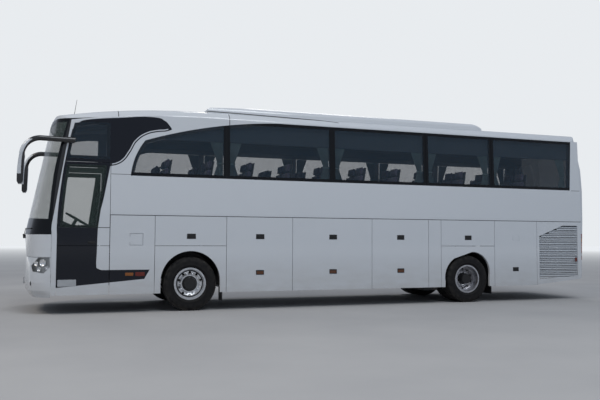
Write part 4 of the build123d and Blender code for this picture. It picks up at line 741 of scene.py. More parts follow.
def makeRowTree():
    # slats, louvres and ribs in a straight row
    tree = Growth("rowOfSlats", {"count": 8, "start": (0.0, 0.0, 0.0), "step": (0.0, 0.0, 0.05),
                                 "blockSize": (0.5, 0.01, 0.02), "blockTurn": (0.0, 0.0, 0.0),
                                 "centre": (0.0, 0.0, 0.0), "turn": (0.0, 0.0, 0.0)})
    row = tree.add("GeometryNodeMeshLine", Count=tree.wants("count"), Start_Location=tree.wants("start"),
                   Offset=tree.wants("step"))
    part = tree.add("GeometryNodeMeshCube", Size=tree.wants("blockSize"))
    toward = tree.add("FunctionNodeEulerToRotation", Euler=tree.wants("blockTurn"))
    tree.close(row.outputs[0], part.outputs[0], toward.outputs[0], tree.wants("turn"), tree.wants("centre"))
    return tree


ringTree, lugTree, rowTree = makeRingTree(), makeLugTree(), makeRowTree()
sideTurn = (math.pi / 2, 0.0, 0.0)


def addPiece(name, mesh, finish, body, smooth=False):
    mesh.materials.clear()
    mesh.materials.append(finishes[finish])
    for poly in mesh.polygons:
        poly.use_smooth = smooth
    obj = bpy.data.objects.new(name, mesh)
    scene.collection.objects.link(obj)
    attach(obj, body)
    return obj


def meshOf(name, built):
    bmesh.ops.remove_doubles(built, verts=built.verts, dist=0.00005)
    bmesh.ops.recalc_face_normals(built, faces=built.faces)
    mesh = bpy.data.meshes.new(name)
    built.to_mesh(mesh)
    built.free()
    return mesh


def finishPiece(name, built, finish, body, smooth=False):
    return addPiece(name, meshOf(name, built), finish, body, smooth)


def joinRings(built, rings):
    # faces between neighbouring rings, and from the last ring to the first
    for a, b in zip(rings, rings[1:] + rings[:1]):
        for j in range(len(a) - 1):
            built.faces.new((a[j], b[j], b[j + 1], a[j + 1]))


def addSpun(built, profile, centre, steps):
    # profile of (radius, y) turned about the axle line through centre
    cx, cz = centre
    rings = []
    for i in range(steps):
        a = 2 * math.pi * i / steps
        rings.append([built.verts.new((cx + r * math.sin(a), y, cz + r * math.cos(a))) for r, y in profile])
    joinRings(built, rings)


def addPlate(built, centre, size, depth, radius, lip=0.003, face=1):
    # rounded plate on a side wall; centre is (x, y, z) on its back, face is +1 or -1 along y
    cx, cy, cz = centre
    w, h = size[0] / 2 - radius, size[1] / 2 - radius
    outline = []
    for k in range(20):
        a = 2 * math.pi * (k + 0.5) / 20
        sx = 1 if math.cos(a) > 0 else -1
        sz = 1 if math.sin(a) > 0 else -1
        outline.append((cx + sx * w + radius * math.cos(a), cz + sz * h + radius * math.sin(a)))
    levels = []
    top = 1 - 2 * lip / min(size)
    for share, y in ((1.0, cy), (1.0, cy + face * (depth - lip)), (top, cy + face * depth)):
        ring = [(cx + (x - cx) * share, y, cz + (z - cz) * share) for x, z in outline]
        levels.append([built.verts.new(corner) for corner in ring])
    for low, high in zip(levels, levels[1:]):
        for k in range(20):
            built.faces.new((low[k], low[(k + 1) % 20], high[(k + 1) % 20], high[k]))
    built.faces.new(levels[0][::-1])
    built.faces.new(levels[-1])


def addBox(built, low, high):
    xs, ys, zs = zip(low, high)
    v = [built.verts.new((x, y, z)) for x in xs for y in ys for z in zs]
    for quad in ((0, 1, 3, 2), (4, 6, 7, 5), (0, 4, 5, 1), (2, 3, 7, 6), (0, 2, 6, 4), (1, 5, 7, 3)):
        built.faces.new([v[i] for i in quad])


def addPrism(built, corners):
    # block between two rings of four corners each
    v = [built.verts.new(corner) for corner in corners]
    for quad in ((0, 1, 2, 3), (7, 6, 5, 4), (0, 4, 5, 1), (1, 5, 6, 2), (2, 6, 7, 3), (3, 7, 4, 0)):
        built.faces.new([v[i] for i in quad])


# wheels

wheelPlan = {
    "wheels": (
        ("frontLeft", "front_left_wheel", 3.075, (1.072,), 1, "front_left_tyre"),
        ("frontRight", "front_right_wheel", 3.075, (1.072,), -1, "front_right_tyre"),
        ("rearLeft", "rear_left_wheels", -2.925, (1.078, 0.748), 1, "rear_left_tyres"),
        ("rearRight", "rear_right_wheels", -2.925, (1.078, 0.748), -1, "rear_right_tyres"),
    ),
    "grooves": (-0.078, -0.028, 0.028, 0.078), "grooveWidth": 0.010, "grooveDepth": 0.014,
    "steps": 112, "beadRadius": 0.286, "beadY": 0.106,
    "lugs": 72, "lugRing": 0.4835, "lugSize": (0.0180, 0.0250, 0.0200), "lugY": 0.1105,
    # y of the nuts and radius of their ring
    "frontNuts": (1.150, 0.1675), "rearNuts": (1.018, 0.1360),
    # sides, radius and length
    "fasteners": {"Nuts": (6, 0.0175, 0.030), "Studs": (10, 0.0090, 0.050)},
}


def tyreProfile(plan):
    # (radius, y) from the inner bead round to the outer one
    wall = [(0.2990, -0.106), (0.3015, -0.117), (0.3110, -0.1265), (0.3180, -0.1290), (0.3200, -0.1320),
            (0.3400, -0.1385), (0.3430, -0.1415), (0.3560, -0.1425), (0.3600, -0.1405), (0.3900, -0.1445),
            (0.4150, -0.1440), (0.4400, -0.1400), (0.4600, -0.1320), (0.4620, -0.1290), (0.4780, -0.1240),
            (0.4880, -0.1160), (0.4945, -0.1080)]
    tread = []
    for y in plan["grooves"]:
        half = plan["grooveWidth"] / 2
        crown = 0.4998 - 0.28 * y * y
        tread += [(crown, y - half), (crown - plan["grooveDepth"], y - half * 0.6),
                  (crown - plan["grooveDepth"], y + half * 0.6), (crown, y + half)]
    return wall + tread + [(r, -y) for r, y in reversed(wall)]


def makeWheels(plan):
    profile = tyreProfile(plan)
    for name, body, x, tracks, side, node in plan["wheels"]:
        built = bmesh.new()
        for track in tracks:
            closed = [(r, side * track + y) for r, y in profile]
            bead = [(plan["beadRadius"], side * track + edge * plan["beadY"]) for edge in (1, -1)]
            addSpun(built, closed + bead + closed[:1], (x, coach["axleZ"]), plan["steps"])
        rubber, nuts = ("frontRubber", "frontNuts") if x > 0 else ("rearRubber", "rearNuts")
        tyre = finishPiece(name + "Tyre", built, rubber, body, smooth=True)
        tyre.data.set_sharp_from_angle(angle=math.radians(40))
        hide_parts(node)
        for i, track in enumerate(tracks):
            for edge in (-1, 1):
                growPiece("%sLugs%d%s" % (name, i, "Out" if edge > 0 else "In"), lugTree, {
                    "count": plan["lugs"], "ringRadius": plan["lugRing"], "blockSize": plan["lugSize"],
                    "centre": (x, side * track + edge * plan["lugY"], coach["axleZ"]), "turn": sideTurn,
                }, rubber, body)
        nutY, circle = plan[nuts]
        for part, (sides, radius, depth) in plan["fasteners"].items():
            growPiece(name + part, ringTree, {
                "count": 10, "ringRadius": circle, "sides": sides, "partRadius": radius,
                "partDepth": depth, "centre": (x, side * nutY, coach["axleZ"]), "turn": sideTurn,
            }, "nutSteel", body)


makeWheels(wheelPlan)
print("wheels made")


# small fittings of the lower side

fittingPlan = {
    # doors that carry a grip, with its x; luggage doors carry a marker below it
    "gripDoors": {"luggage_door_1": 1.7395, "luggage_door_2": 0.221, "luggage_door_3": -1.293,
                  "front_wheel_hatch": 3.0715, "rear_wheel_hatch": -2.9215},
    "gripZ": 1.380, "markerZ": 0.697, "lampZ": 0.693,
    # plates of each fitting: x and z from its place, y of the back, size, thickness, corner radius, lip
    "grip": ((0.0, 0.0, 1.2342, (0.164, 0.094), 0.0168, 0.012, 0.001),
             (0.0, 0.012, 1.2505, (0.132, 0.044), 0.005, 0.010, 0.003),
             (0.048, -0.028, 1.2505, (0.024, 0.024), 0.004, 0.011, 0.002)),
    "markerFrame": ((0.0, 0.0, 1.2495, (0.160, 0.090), 0.006, 0.010, 0.002),),
    "marker": ((0.0, -0.006, 1.2550, (0.136, 0.056), 0.005, 0.008, 0.003),),
    # the recess of each service door is covered, and its latch sits low
    "latch": ((0.0, 0.0, 1.2495, (0.150, 0.086), 0.006, 0.010, 0.002),
              (0.0, 0.010, 1.2550, (0.120, 0.040), 0.005, 0.008, 0.003)),
    "cover": ((0.0, 0.0, 1.2342, (0.163, 0.097), 0.0159, 0.004, 0.0006),),
    "latchX": -4.137, "coverX": -4.1495,
    "turnLamp": ((0.0, 0.0, 1.2495, (0.145, 0.056), 0.009, 0.010, 0.004),),
    "sideReflector": ((0.0, 0.0, 1.2495, (0.165, 0.070), 0.009, 0.010, 0.004),),
    "tailReflector": ((0.0, 0.0, 1.2495, (0.055, 0.090), 0.007, 0.008, 0.003),),
    "sidePlate": ((0.0, 0.0, 1.2495, (0.310, 0.118), 0.004, 0.012, 0.0015),),
    "doorHandle": ((0.0, 0.0, 1.2495, (0.130, 0.036), 0.014, 0.012, 0.004),),
    # mud flaps: x and inner edge, then the outer edge, foot, head, and half the thickness
    "mudFlaps": {"frontMudFlaps": (2.470, 0.93), "rearMudFlaps": (-3.520, 0.62)},
    "flapOuter": 1.215, "flapZ": (0.170, 0.520), "flapHalf": 0.004, "ribs": 6,
    # louvre blades between the slats: ends of the cut-out, first slat, pitch and count
    "blades": {"rearX": -5.836, "frontX": -4.777, "firstZ": 0.5099, "pitch": 0.07987, "count": 14,
               "cutFrom": 1.428, "cutTo": 1.668, "cutBack": 0.640},
}


def addBlade(built, x0, x1, outer, inner, thick):
    # slanted louvre blade between two (y, z) edges
    edges = ((outer, 0.0), (inner, 0.0), (inner, thick), (outer, thick))
    addPrism(built, [(x, y, z - drop) for x in (x0, x1) for (y, z), drop in edges])


def makeBlades(plan):
    for side, word in ((1, "left"), (-1, "right")):
        built = bmesh.new()
        for i in range(plan["count"]):
            z = plan["firstZ"] + plan["pitch"] * i
            cut = max(0.0, z + 0.064 - plan["cutFrom"]) / (plan["cutTo"] - plan["cutFrom"])
            front = plan["frontX"] - plan["cutBack"] * cut
            addBlade(built, plan["rearX"], front, (side * 1.240, z + 0.025), (side * 1.207, z + 0.063), 0.003)
        finishPiece(word + "LouvreBlades", built, "sidePaint", word + "_engine_door_leaf")


def addFitting(name, side, place, plates, finish, body):
    x, z = place
    built = bmesh.new()
    for dx, dz, y, size, depth, radius, lip in plates:
        addPlate(built, (x + dx, side * y, z + dz), size, depth, radius, lip, side)
    finishPiece(name, built, finish, body)


def makeDoorFittings(plan, side, word):
    for door, x in plan["gripDoors"].items():
        node = word + "_" + door
        if node not in nodes:
            continue
        leaf = node + "_leaf"
        addFitting(node + "Grip", side, (x, plan["gripZ"]), plan["grip"], "blackPlastic", leaf)
        if door.startswith("luggage"):
            low = (x, plan["markerZ"])
            addFitting(node + "MarkerFrame", side, low, plan["markerFrame"], "blackPlastic", leaf)
            addFitting(node + "Marker", side, low, plan["marker"], "brownLens", leaf)
    node, leaf = word + "_service_door", word + "_service_door_leaf"
    addFitting(node + "Latch", side, (plan["latchX"], plan["markerZ"]), plan["latch"], "blackPlastic", leaf)
    addFitting(node + "Cover", side, (plan["coverX"], plan["gripZ"]), plan["cover"], "sidePaint", leaf)


def makeMudFlaps(plan):
    # rubber flaps behind the wheels, ribbed down their length
    outer, (foot, head), half = plan["flapOuter"], plan["flapZ"], plan["flapHalf"]
    for name, (x, inner) in plan["mudFlaps"].items():
        built = bmesh.new()
        for side in (1, -1):
            ys = sorted((side * inner, side * outer))
            addBox(built, (x - half, ys[0], foot), (x + half, ys[1], head))
            for k in range(plan["ribs"]):
                y = side * (inner + 0.03 + k * (outer - inner - 0.06) / (plan["ribs"] - 1))
                addBox(built, (x - half - 0.003, y - 0.006, foot + 0.015),
                       (x - half + 0.0005, y + 0.006, head - 0.020))
        finishPiece(name, built, "blackPlastic", "coach")


def makeFittings(plan):
    for side, word in ((1, "left"), (-1, "right")):
        makeDoorFittings(plan, side, word)
        title = word.capitalize()
        addFitting("turnLamp" + title, side, (4.190, plan["lampZ"]), plan["turnLamp"], "amberLens", "coach")
        addFitting("sideReflector" + title, side, (4.000, plan["lampZ"]), plan["sideReflector"], "redLens",
                   "coach")
        addFitting("tailReflector" + title, side, (-5.790, 0.90), plan["tailReflector"], "redLens",
                   word + "_engine_door_leaf")
    addFitting("blankSidePlate", 1, (5.255, 0.551), plan["sidePlate"], "plateWhite", "driver_step_flap_leaf")
    addFitting("driverDoorHandle", 1, (4.850, 1.265), plan["doorHandle"], "blackPlastic", "driver_door_leaf")
    addFitting("entranceDoorHandle", -1, (4.850, 1.265), plan["doorHandle"], "blackPlastic", "entrance_leaf")
    makeMudFlaps(plan)


makeFittings(fittingPlan)
makeBlades(fittingPlan["blades"])
print("side fittings made")


# lamps, mirrors, aerial, blank plates and the louvres of the engine lid

frontPlan = {
    # degrees from straight ahead, height, radius
    "bowls": ((60.0, 0.905, 0.060), (40.0, 0.890, 0.044), (51.0, 0.788, 0.034), (71.0, 0.815, 0.026)),
    "lowLamp": (28.0, 0.545, 0.018),
    # half sections of a bowl and a bulb, as shares of the radius and of the depth
    "bowlShape": ((1.0, 0.0), (0.94, -0.25), (0.76, -0.60), (0.45, -0.88), (0.0, -1.0)),
    "bulbShape": ((0.0, -0.95), (0.20, -0.85), (0.22, -0.60), (0.12, -0.40), (0.0, -0.35)),
    "bowlDepth": 0.030, "bowlWall": 0.002, "sink": 0.009,
    # foot and head of the two mirror glasses, and their inner and outer edges
    "glass": ((2.455, 2.770), (2.320, 2.440)), "glassY": (1.212, 1.418),
    # x of their two faces at one level, and how far they lean back with height
    "glassX": (6.001, 6.004), "glassLevel": 2.30, "glassLean": 0.030,
    "aerial": {"foot": (5.17, 0.40), "top": (5.12, 0.40, 3.950), "radius": 0.0055},
}


def addTurned(built, profile, centre, axis, steps=28, stretch=1.0):
    # closed profile of (radius, distance along the axis) turned about the axis
    ahead = Vector(axis).normalized()
    across = ahead.cross(Vector((0, 0, 1) if abs(ahead.z) < 0.9 else (1, 0, 0))).normalized()
    up = across.cross(ahead)
    rings = []
    for i in range(steps):
        a = 2 * math.pi * i / steps
        spoke = math.cos(a) * across + math.sin(a) * stretch * up
        rings.append([built.verts.new(Vector(centre) + spoke * r + ahead * d) for r, d in profile])
    joinRings(built, rings)


def noseSpot(side, degrees, z):
    # a spot on the corner of the nose: middle of the arc, its radius and the way out
    cx, cy, reach = noseCorner(z)
    turn = math.radians(degrees)
    return Vector((cx, side * cy, z)), reach, Vector((math.cos(turn), side * math.sin(turn), 0.0))


def makeFront(plan):
    depth, wall = plan["bowlDepth"], plan["bowlWall"]
    for side, word in ((1, "Left"), (-1, "Right")):
        bowls, bulbs = bmesh.new(), bmesh.new()
        for degrees, z, radius in plan["bowls"]:
            middle, reach, axis = noseSpot(side, degrees, z)
            centre = middle + axis * (reach - plan["sink"] - radius * radius / 0.84)
            bowl = [(radius * r, depth * d) for r, d in plan["bowlShape"]]
            shell = [(r + wall, d - 0.003) for r, d in reversed(bowl[1:-1])]
            rim = [(radius + wall, 0.0), bowl[0]]
            addTurned(bowls, bowl + [(0.0, -depth - 0.003)] + shell + rim, centre, axis)
            addTurned(bulbs, [(radius * r, depth * d) for r, d in plan["bulbShape"]], centre, axis, 16)
        finishPiece("lampBowls" + word, bowls, "lampChrome", "coach", smooth=True)
        finishPiece("lampBulbs" + word, bulbs, "headLens", "coach", smooth=True)
        degrees, z, radius = plan["lowLamp"]
        middle, reach, axis = noseSpot(side, degrees, z)
        low = bmesh.new()
        dome = [(0.0, -0.004), (radius, -0.004), (radius, 0.002), (radius * 0.7, 0.006), (0.0, 0.007)]
        addTurned(low, dome, middle + axis * reach, axis, 24, 2.1)
        finishPiece("lowLamp" + word, low, "dashPlastic", "coach", smooth=True)
        glass = bmesh.new()
        inner, outer = plan["glassY"]
        back, face = plan["glassX"]
        for heights in plan["glass"]:
            corners = []
            for z in heights:
                shift = plan["glassLean"] * (z - plan["glassLevel"])
                for x, y in ((back, inner), (back, outer), (face, outer), (face, inner)):
                    corners.append((x - shift, side * y, z))
            addPrism(glass, corners)
        finishPiece("mirrorGlass" + word, glass, "mirrorSilver", "coach")
    # the aerial's foot is dropped on the roof from above
    above, down = Vector(plan["aerial"]["foot"] + (5.0,)), Vector((0.0, 0.0, -1.0))
    foot, top = nodes["roof_shell"].ray_cast(above, down)[1], Vector(plan["aerial"]["top"])
    aerial = bmesh.new()
    base = [(0.0, -0.004), (0.030, -0.004), (0.026, 0.012), (0.010, 0.022), (0.0, 0.024)]
    addTurned(aerial, base, foot, (0, 0, 1), 24)
    r, length = plan["aerial"]["radius"], (top - foot).length
    rod = [(0.0, 0.01), (r, 0.01), (r * 0.6, length - 0.004), (0.0, length)]
    addTurned(aerial, rod, foot, top - foot, 12)
    finishPiece("roofAerial", aerial, "blackPlastic", "coach", smooth=True)


tailPlan = {
    "louvres": {"count": 10, "start": (-6.0585, 0.0, 1.000), "step": (-0.00188, 0.0, 0.0560),
                "blockSize": (0.014, 1.500, 0.020), "blockTurn": (0.0, 0.5, 0.0)},
    # boxes as low and high corner; the panels close the upper corners beside the rear wall
    "rearPlate": ((-6.0490, -0.260, 0.525), (-6.0380, 0.260, 0.635)),
    "frontPlate": ((5.9740, -0.260, 0.500), (5.9880, 0.260, 0.610)),
    "panelX": (-5.9395, -5.9050), "panelY": (1.030, 1.1175), "panelZ": (3.440, 3.609),
}


def makeTail(plan):
    growPiece("engineLidLouvres", rowTree, plan["louvres"], "blackPlastic", "engine_lid_leaf")
    for name, box in (("blankRearPlate", plan["rearPlate"]), ("blankFrontPlate", plan["frontPlate"])):
        plate = bmesh.new()
        addBox(plate, *box)
        finishPiece(name, plate, "plateWhite", "coach")
    panels = bmesh.new()
    (x0, x1), (z0, z1) = plan["panelX"], plan["panelZ"]
    for side in (1, -1):
        y0, y1 = sorted(side * y for y in plan["panelY"])
        addBox(panels, (x0, y0, z0), (x1, y1, z1))
    finishPiece("tailCornerPanels", panels, "shellPaint", "coach")


makeFront(frontPlan)
makeTail(tailPlan)
print("lamps, mirrors and tail made")


# seats: three kinds of pad are puffed up once by a cloth simulation, then set out in rows

seatPlan = {
    "rows": 11, "firstX": 3.64, "pitch": 0.8, "stairwell": (-2.40, -0.91), "seatY": (0.508, 0.908),
    "voxel": 0.009, "pressure": 4.0, "cap": 0.011, "lastFrame": 20,
    # sewn lines are pressed in this deep, this wide, and run along the sides at this share of the width
    "seamDepth": 0.006, "seamWidth": 0.007, "seamSide": 0.33,
    # size, faces kept, axis that faces the sitter, axis along the pad, sewn channels across it
    "pads": {
        "cushion": {"size": (0.440, 0.372, 0.105), "faces": 1300, "front": 2, "along": 0,
                    "channels": (-0.07, 0.06)},
        "back": {"size": (0.060, 0.366, 0.540), "faces": 1300, "front": 0, "along": 2,
                 "channels": (-0.13, 0.02, 0.16)},
        "headrest": {"size": (0.060, 0.270, 0.150), "faces": 520, "front": 0, "along": 2, "channels": ()},
    },
    # place and lean of each part of a seat, from its foot on the deck
    "cushionAt": ((0.190, 0.0, 0.3880), -0.03), "backAt": ((-0.088, 0.0, 0.745), -0.170),
    "headrestAt": ((-0.150, 0.0, 1.105), -0.170), "shellAt": ((-0.155, 0.0, 0.800), -0.155),
    "shellSize": (0.022, 0.384, 0.740),
    # frame of a double seat as low and high corners: leg, foot, bearers, pan, wall rail, armrest and post
    "frame": (
        ((0.02, 0.330, 0.000), (0.22, 0.365, 0.290)), ((-0.02, 0.320, 0.000), (0.28, 0.375, 0.016)),
        ((0.05, 0.310, 0.292), (0.09, 1.112, 0.316)), ((0.28, 0.310, 0.292), (0.32, 1.112, 0.316)),
        ((-0.03, 0.315, 0.3165), (0.405, 1.105, 0.3290)), ((-0.04, 1.090, 0.200), (0.38, 1.118, 0.240)),
        ((-0.045, 0.2915, 0.585), (0.255, 0.3105, 0.615)),
        ((-0.03, 0.2915, 0.320), (0.00, 0.3105, 0.585)),
    ),
}
driverPlan = {
    "place": (4.640, 0.650, 1.050),
    # foot, pillar and pan of the base
    "base": (((0.03, -0.20, 0.0), (0.30, 0.20, 0.12)), ((0.06, -0.15, 0.12), (0.27, 0.15, 0.28)),
             ((0.02, -0.24, 0.28), (0.42, 0.24, 0.342))),
    # place, lean and scale of each pad
    "cushion": ((0.250, 0.0, 0.4120), 0.0, (0.82, 1.34, 1.00)),
    "back": ((0.000, 0.0, 0.760), -0.145, (1.20, 1.36, 0.93)),
    "headrest": ((-0.052, 0.0, 1.130), -0.145, (1.00, 1.10, 1.00)),
}


def bake(obj):
    # the object's mesh with its modifiers applied and removed
    made = bpy.data.meshes.new_from_object(obj.evaluated_get(bpy.context.evaluated_depsgraph_get()))
    obj.modifiers.clear()
    obj.data = made


def puffPad(name, pad, plan):
    built = bmesh.new()
    bmesh.ops.create_cube(built, size=1.0)
    bmesh.ops.scale(built, vec=pad["size"], verts=built.verts)
    bmesh.ops.bevel(built, geom=built.edges[:], offset=min(pad["size"]) * 0.34, segments=3, profile=0.55,
                    affect="EDGES")
    obj = bpy.data.objects.new(name, meshOf(name, built))
    scene.collection.objects.link(obj)
    remesh = obj.modifiers.new("remesh", "REMESH")
    remesh.mode = "VOXEL"
    remesh.voxel_size = plan["voxel"]
    bake(obj)
    start = [v.co.copy() for v in obj.data.vertices]
    cloth = obj.modifiers.new("puff", "CLOTH")
    cloth.settings.use_pressure = True
    cloth.settings.uniform_pressure_force = plan["pressure"]
    cloth.settings.effector_weights.gravity = 0.0
    for frameNumber in range(1, plan["lastFrame"] + 1):
        scene.frame_set(frameNumber)
    bake(obj)
    scene.frame_set(1)
    front, along = pad["front"], pad["along"]
    edge, wide = pad["size"][1] * plan["seamSide"], plan["seamWidth"]
    for vertex, before in zip(obj.data.vertices, start):
        move = vertex.co - before
        if move.length > plan["cap"]:
            vertex.co = before + move * (plan["cap"] / move.length)
        # sewn channels are pressed into the side that faces the sitter
        if vertex.co[front] > 0.0:
            press = sum(math.exp(-((vertex.co[along] - c) / wide) ** 2) for c in pad["channels"])
            sides = math.exp(-((abs(vertex.co.y) - edge) / wide) ** 2)
            vertex.co[front] -= plan["seamDepth"] * min(1.0, press * (abs(vertex.co.y) < edge) + sides)
    thin = obj.modifiers.new("thin", "DECIMATE")
    thin.ratio = min(1.0, pad["faces"] / len(obj.data.polygons))
    bake(obj)
    unit = obj.data
    bpy.data.objects.remove(obj)
    return unit


def spread(name, unit, places, finish):
    # copies of one shape joined into a piece
    corners = [v.co.copy() for v in unit.vertices]
    faces = [tuple(p.vertices) for p in unit.polygons]
    allCorners, allFaces = [], []
    for place in places:
        base = len(allCorners)
        allCorners += [place @ c for c in corners]
        allFaces += [tuple(base + i for i in face) for face in faces]
    mesh = bpy.data.meshes.new(name)
    mesh.from_pydata(allCorners, [], allFaces)
    return addPiece(name, mesh, finish, "coach", smooth=True)


def leanAt(place, offset, lean, scale=(1.0, 1.0, 1.0)):
    moved = Matrix.Translation(Vector(place) + Vector(offset))
    return moved @ Matrix.Rotation(lean, 4, "Y") @ Matrix.Diagonal(tuple(scale) + (1.0,))


def softEdges(built, width=0.004):
    bmesh.ops.bevel(built, geom=built.edges[:], offset=width, segments=2, profile=0.5, affect="EDGES")


def makeSeats(plan, driver):
    units = {kind: puffPad(kind, pad, plan) for kind, pad in plan["pads"].items()}
    doubles = []
    for row in range(plan["rows"]):
        x = plan["firstX"] - plan["pitch"] * row
        for side in (1, -1):
            if side > 0 or not plan["stairwell"][0] < x < plan["stairwell"][1]:
                doubles.append((x, side))
    seats = [(x, side * y, coach["deckZ"]) for x, side in doubles for y in plan["seatY"]]
    for kind, unit in units.items():
        offset, lean = plan[kind + "At"]
        places = [leanAt(seat, offset, lean) for seat in seats]
        padding = spread("passenger" + kind.capitalize() + "s", unit, places, "seatCloth")
        offset, lean, scale = driver[kind]
        places = [leanAt(driver["place"], offset, lean, scale)]
        driverPad = spread("driver" + kind.capitalize(), unit, places, "seatCloth")
        if kind == "cushion":
            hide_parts("passenger_seats")
            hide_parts("driver_seat")
    # hard parts: shells behind the backs, and the frames
    slab = bmesh.new()
    bmesh.ops.create_cube(slab, size=1.0)
    bmesh.ops.scale(slab, vec=plan["shellSize"], verts=slab.verts)
    softEdges(slab, 0.010)
    offset, lean = plan["shellAt"]
    places = [leanAt(seat, offset, lean) for seat in seats]
    spread("seatShells", meshOf("seatShell", slab), places, "seatShell")
    frames = bmesh.new()
    z = coach["deckZ"]
    for x, side in doubles:
        for low, high in plan["frame"]:
            y0, y1 = sorted((side * low[1], side * high[1]))
            addBox(frames, (x + low[0], y0, z + low[2]), (x + high[0], y1, z + high[2]))
    softEdges(frames)
    finishPiece("seatFrames", frames, "seatShell", "coach")
    base = bmesh.new()
    for low, high in driver["base"]:
        addBox(base, Vector(driver["place"]) + Vector(low), Vector(driver["place"]) + Vector(high))
    softEdges(base, 0.008)
    finishPiece("driverSeatBase", base, "seatShell", "coach")


makeSeats(seatPlan, driverPlan)
print("seats made")


# curtains: gathered cloth tied back beside each window post

curtainPlan = {
    "spots": ((2.400, (-1, 1)), (0.222, (-1, 1)), (-1.921, (-1, 1)), (-3.565, (-1, 1)), (-5.640, (1,))),
    "post": 0.060, "topZ": 3.179, "tieZ": 2.770, "lowZ": 2.510,
    "topWidth": 0.250, "tieWidth": 0.115, "footWidth": 0.190,
    "flat": 0.460, "folds": 8, "columns": 88, "rowCount": 22,
    # walls of the side behind the cloth, the cloth's gap to them, and the tie's gap, wall and half height
    "wallDepth": 0.060, "clothGap": 0.0035, "tieGap": 0.0015, "tieWall": 0.0015, "tieHalf": 0.014,
    "tieDepth": 0.033, "tieSpare": 0.006,
}


def foldDepth(width, flat, folds):
    # depth of a wave whose length along the cloth is the flat width
    low, high = 0.0, 14.0
    for _ in range(30):
        steep = (low + high) / 2
        length = sum(math.sqrt(1 + (steep * math.cos(math.pi * (k + 0.5) / 40)) ** 2) for k in range(40)) / 40
        low, high = (steep, high) if length * width < flat else (low, steep)
    return low * width / folds / (2 * math.pi)


def curtainWidth(plan, z):
    return lineAt(((plan["lowZ"], plan["footWidth"]), (plan["tieZ"] - 0.03, plan["tieWidth"]),
                   (plan["tieZ"] + 0.03, plan["tieWidth"]), (plan["topZ"], plan["topWidth"])), z)


def curtainCloth(plan, postX, way, side):
    # a gathered sheet, waved across its width
    built = bmesh.new()
    grid = []
    for i in range(plan["rowCount"] + 1):
        z = plan["topZ"] + (plan["lowZ"] - plan["topZ"]) * i / plan["rowCount"]
        width = curtainWidth(plan, z)
        depth = foldDepth(width, plan["flat"], plan["folds"])
        middle = sideAt(z) - plan["wallDepth"] - plan["clothGap"] - depth
        row = []
        for j in range(plan["columns"] + 1):
            u = j / plan["columns"]
            x = postX + way * (plan["post"] + u * width)
            wave = math.sin(2 * math.pi * plan["folds"] * u + 0.4 * math.sin(7.0 * u + 3.0 * z))
            row.append(built.verts.new((x, side * (middle + depth * wave), z)))
        grid.append(row)
    for a, b in zip(grid, grid[1:]):
        for j in range(plan["columns"]):
            built.faces.new((a[j], a[j + 1], b[j + 1], b[j]))
    return built


def addTie(built, plan, postX, way, side):
    # a square band round the gathered cloth
    wall, spare = plan["tieWall"], plan["tieSpare"]
    near = sideAt(plan["tieZ"]) - plan["wallDepth"] - plan["tieGap"]
    ends = (plan["post"] - spare, plan["post"] + plan["tieWidth"] + spare)
    x0, x1 = sorted(postX + way * end for end in ends)
    y0, y1 = sorted((side * near, side * (near - plan["tieDepth"])))
    for low, high in (
        ((x0, y0), (x1, y0 + wall)), ((x0, y1 - wall), (x1, y1)),
        ((x0, y0 + wall), (x0 + wall, y1 - wall)), ((x1 - wall, y0 + wall), (x1, y1 - wall)),
    ):
        addBox(built, low + (plan["tieZ"] - plan["tieHalf"],), high + (plan["tieZ"] + plan["tieHalf"],))


def makeCurtains(plan):
    ties = bmesh.new()
    for number, (postX, ways) in enumerate(plan["spots"]):
        for side, word in ((1, "Left"), (-1, "Right")):
            for way in ways:
                name = "curtain%s%d%s" % (word, number, "Front" if way > 0 else "Rear")
                built = curtainCloth(plan, postX, way, side)
                piece = finishPiece(name, built, "curtainCloth", "coach", smooth=True)
                addTie(ties, plan, postX, way, side)
    finishPiece("curtainTies", ties, "curtainCloth", "coach")


makeCurtains(curtainPlan)
print("curtains made")


# studio

studioPlan = {
    "floorHalf": 90.0, "floorTones": ((0.42, 0.42, 0.425), (0.46, 0.46, 0.46)),
    # colour of the backdrop, and the distances over which the floor fades into it
    "backdrop": (0.90, 0.93, 0.96, 1.0), "backdropStrength": 0.9, "fadeFrom": 14.0, "fadeTo": 75.0,
    "sky": (0.78, 0.86, 1.0, 1.0), "skyStrength": 0.42,
    # place, target, width, power and colour
    "lamps": {
        "nose": ((15.0, 5.0, 15.0), (4.0, 0.0, 1.6), 6.0, 900.0, (1.0, 0.90, 0.78)),
        "side": ((-1.0, 15.0, 20.0), (0.0, 0.0, 1.5), 10.0, 1600.0, (0.92, 0.96, 1.0)),
        "far": ((-6.0, -15.0, 18.0), (0.0, 0.0, 2.0), 10.0, 1000.0, (1.0, 0.97, 0.93)),
    },
}


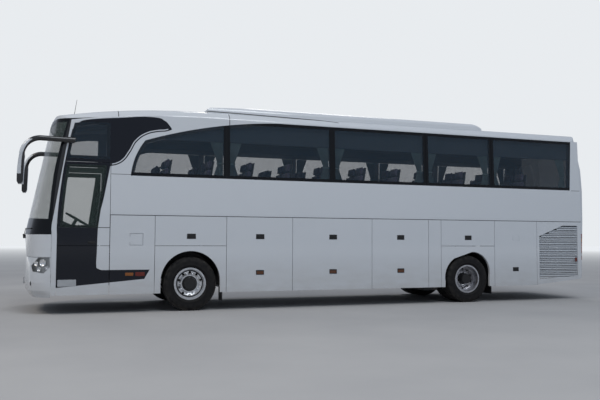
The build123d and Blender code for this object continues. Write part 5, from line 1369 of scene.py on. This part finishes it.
def makeFloor(plan):
    half = plan["floorHalf"]
    mesh = bpy.data.meshes.new("studioFloor")
    corners = [(-half, -half, 0), (half, -half, 0), (half, half, 0), (-half, half, 0)]
    mesh.from_pydata(corners, [], [(0, 1, 2, 3)])
    floor = bpy.data.objects.new("studioFloor", mesh)
    scene.collection.objects.link(floor)
    f = Finish("studioFloor", Roughness=0.9, Specular_IOR_Level=0.1)
    near = f.mottle(0.6, 4.0, 1.0, *plan["floorTones"])
    # far from the coach the floor runs into the pale backdrop
    x, y, z = f.coords()
    reach = f.op("SQRT", f.op("ADD", f.op("MULTIPLY", x, x), f.op("MULTIPLY", y, y)))
    f.set("Base_Color", f.mix(f.ramp(reach, plan["fadeFrom"], 60.0), near, (0.05, 0.05, 0.05)))
    f.set("Emission_Color", plan["backdrop"])
    f.set("Emission_Strength", f.ramp(reach, plan["fadeFrom"], plan["fadeTo"], 0.0, 0.88))
    mesh.materials.append(f.material)


def makeStudio(plan):
    makeFloor(plan)
    world = bpy.data.worlds.new("studioWorld")
    scene.world = world
    world.use_nodes = True
    tree = world.node_tree
    tree.nodes.clear()
    out = tree.nodes.new("ShaderNodeOutputWorld")
    lit = tree.nodes.new("ShaderNodeBackground")
    lit.inputs["Color"].default_value = plan["sky"]
    lit.inputs["Strength"].default_value = plan["skyStrength"]
    # the camera sees the backdrop, and the coach is lit by the sky
    seen = tree.nodes.new("ShaderNodeBackground")
    seen.inputs["Color"].default_value = plan["backdrop"]
    seen.inputs["Strength"].default_value = plan["backdropStrength"]
    path = tree.nodes.new("ShaderNodeLightPath")
    anyOf = tree.nodes.new("ShaderNodeMath")
    anyOf.operation = "MAXIMUM"
    tree.links.new(path.outputs["Is Camera Ray"], anyOf.inputs[0])
    tree.links.new(path.outputs["Is Transmission Ray"], anyOf.inputs[1])
    mix = tree.nodes.new("ShaderNodeMixShader")
    tree.links.new(anyOf.outputs[0], mix.inputs[0])
    tree.links.new(lit.outputs[0], mix.inputs[1])
    tree.links.new(seen.outputs[0], mix.inputs[2])
    tree.links.new(mix.outputs[0], out.inputs["Surface"])
    for name, (place, target, width, power, colour) in plan["lamps"].items():
        data = bpy.data.lights.new(name + "Lamp", "AREA")
        data.energy = power
        data.size = width
        data.color = colour
        lamp = bpy.data.objects.new(name + "Lamp", data)
        lamp.location = place
        lamp.rotation_euler = (Vector(target) - Vector(place)).to_track_quat("-Z", "Y").to_euler()
        scene.collection.objects.link(lamp)
    scene.view_settings.view_transform = "Standard"


makeStudio(studioPlan)
print("studio set")
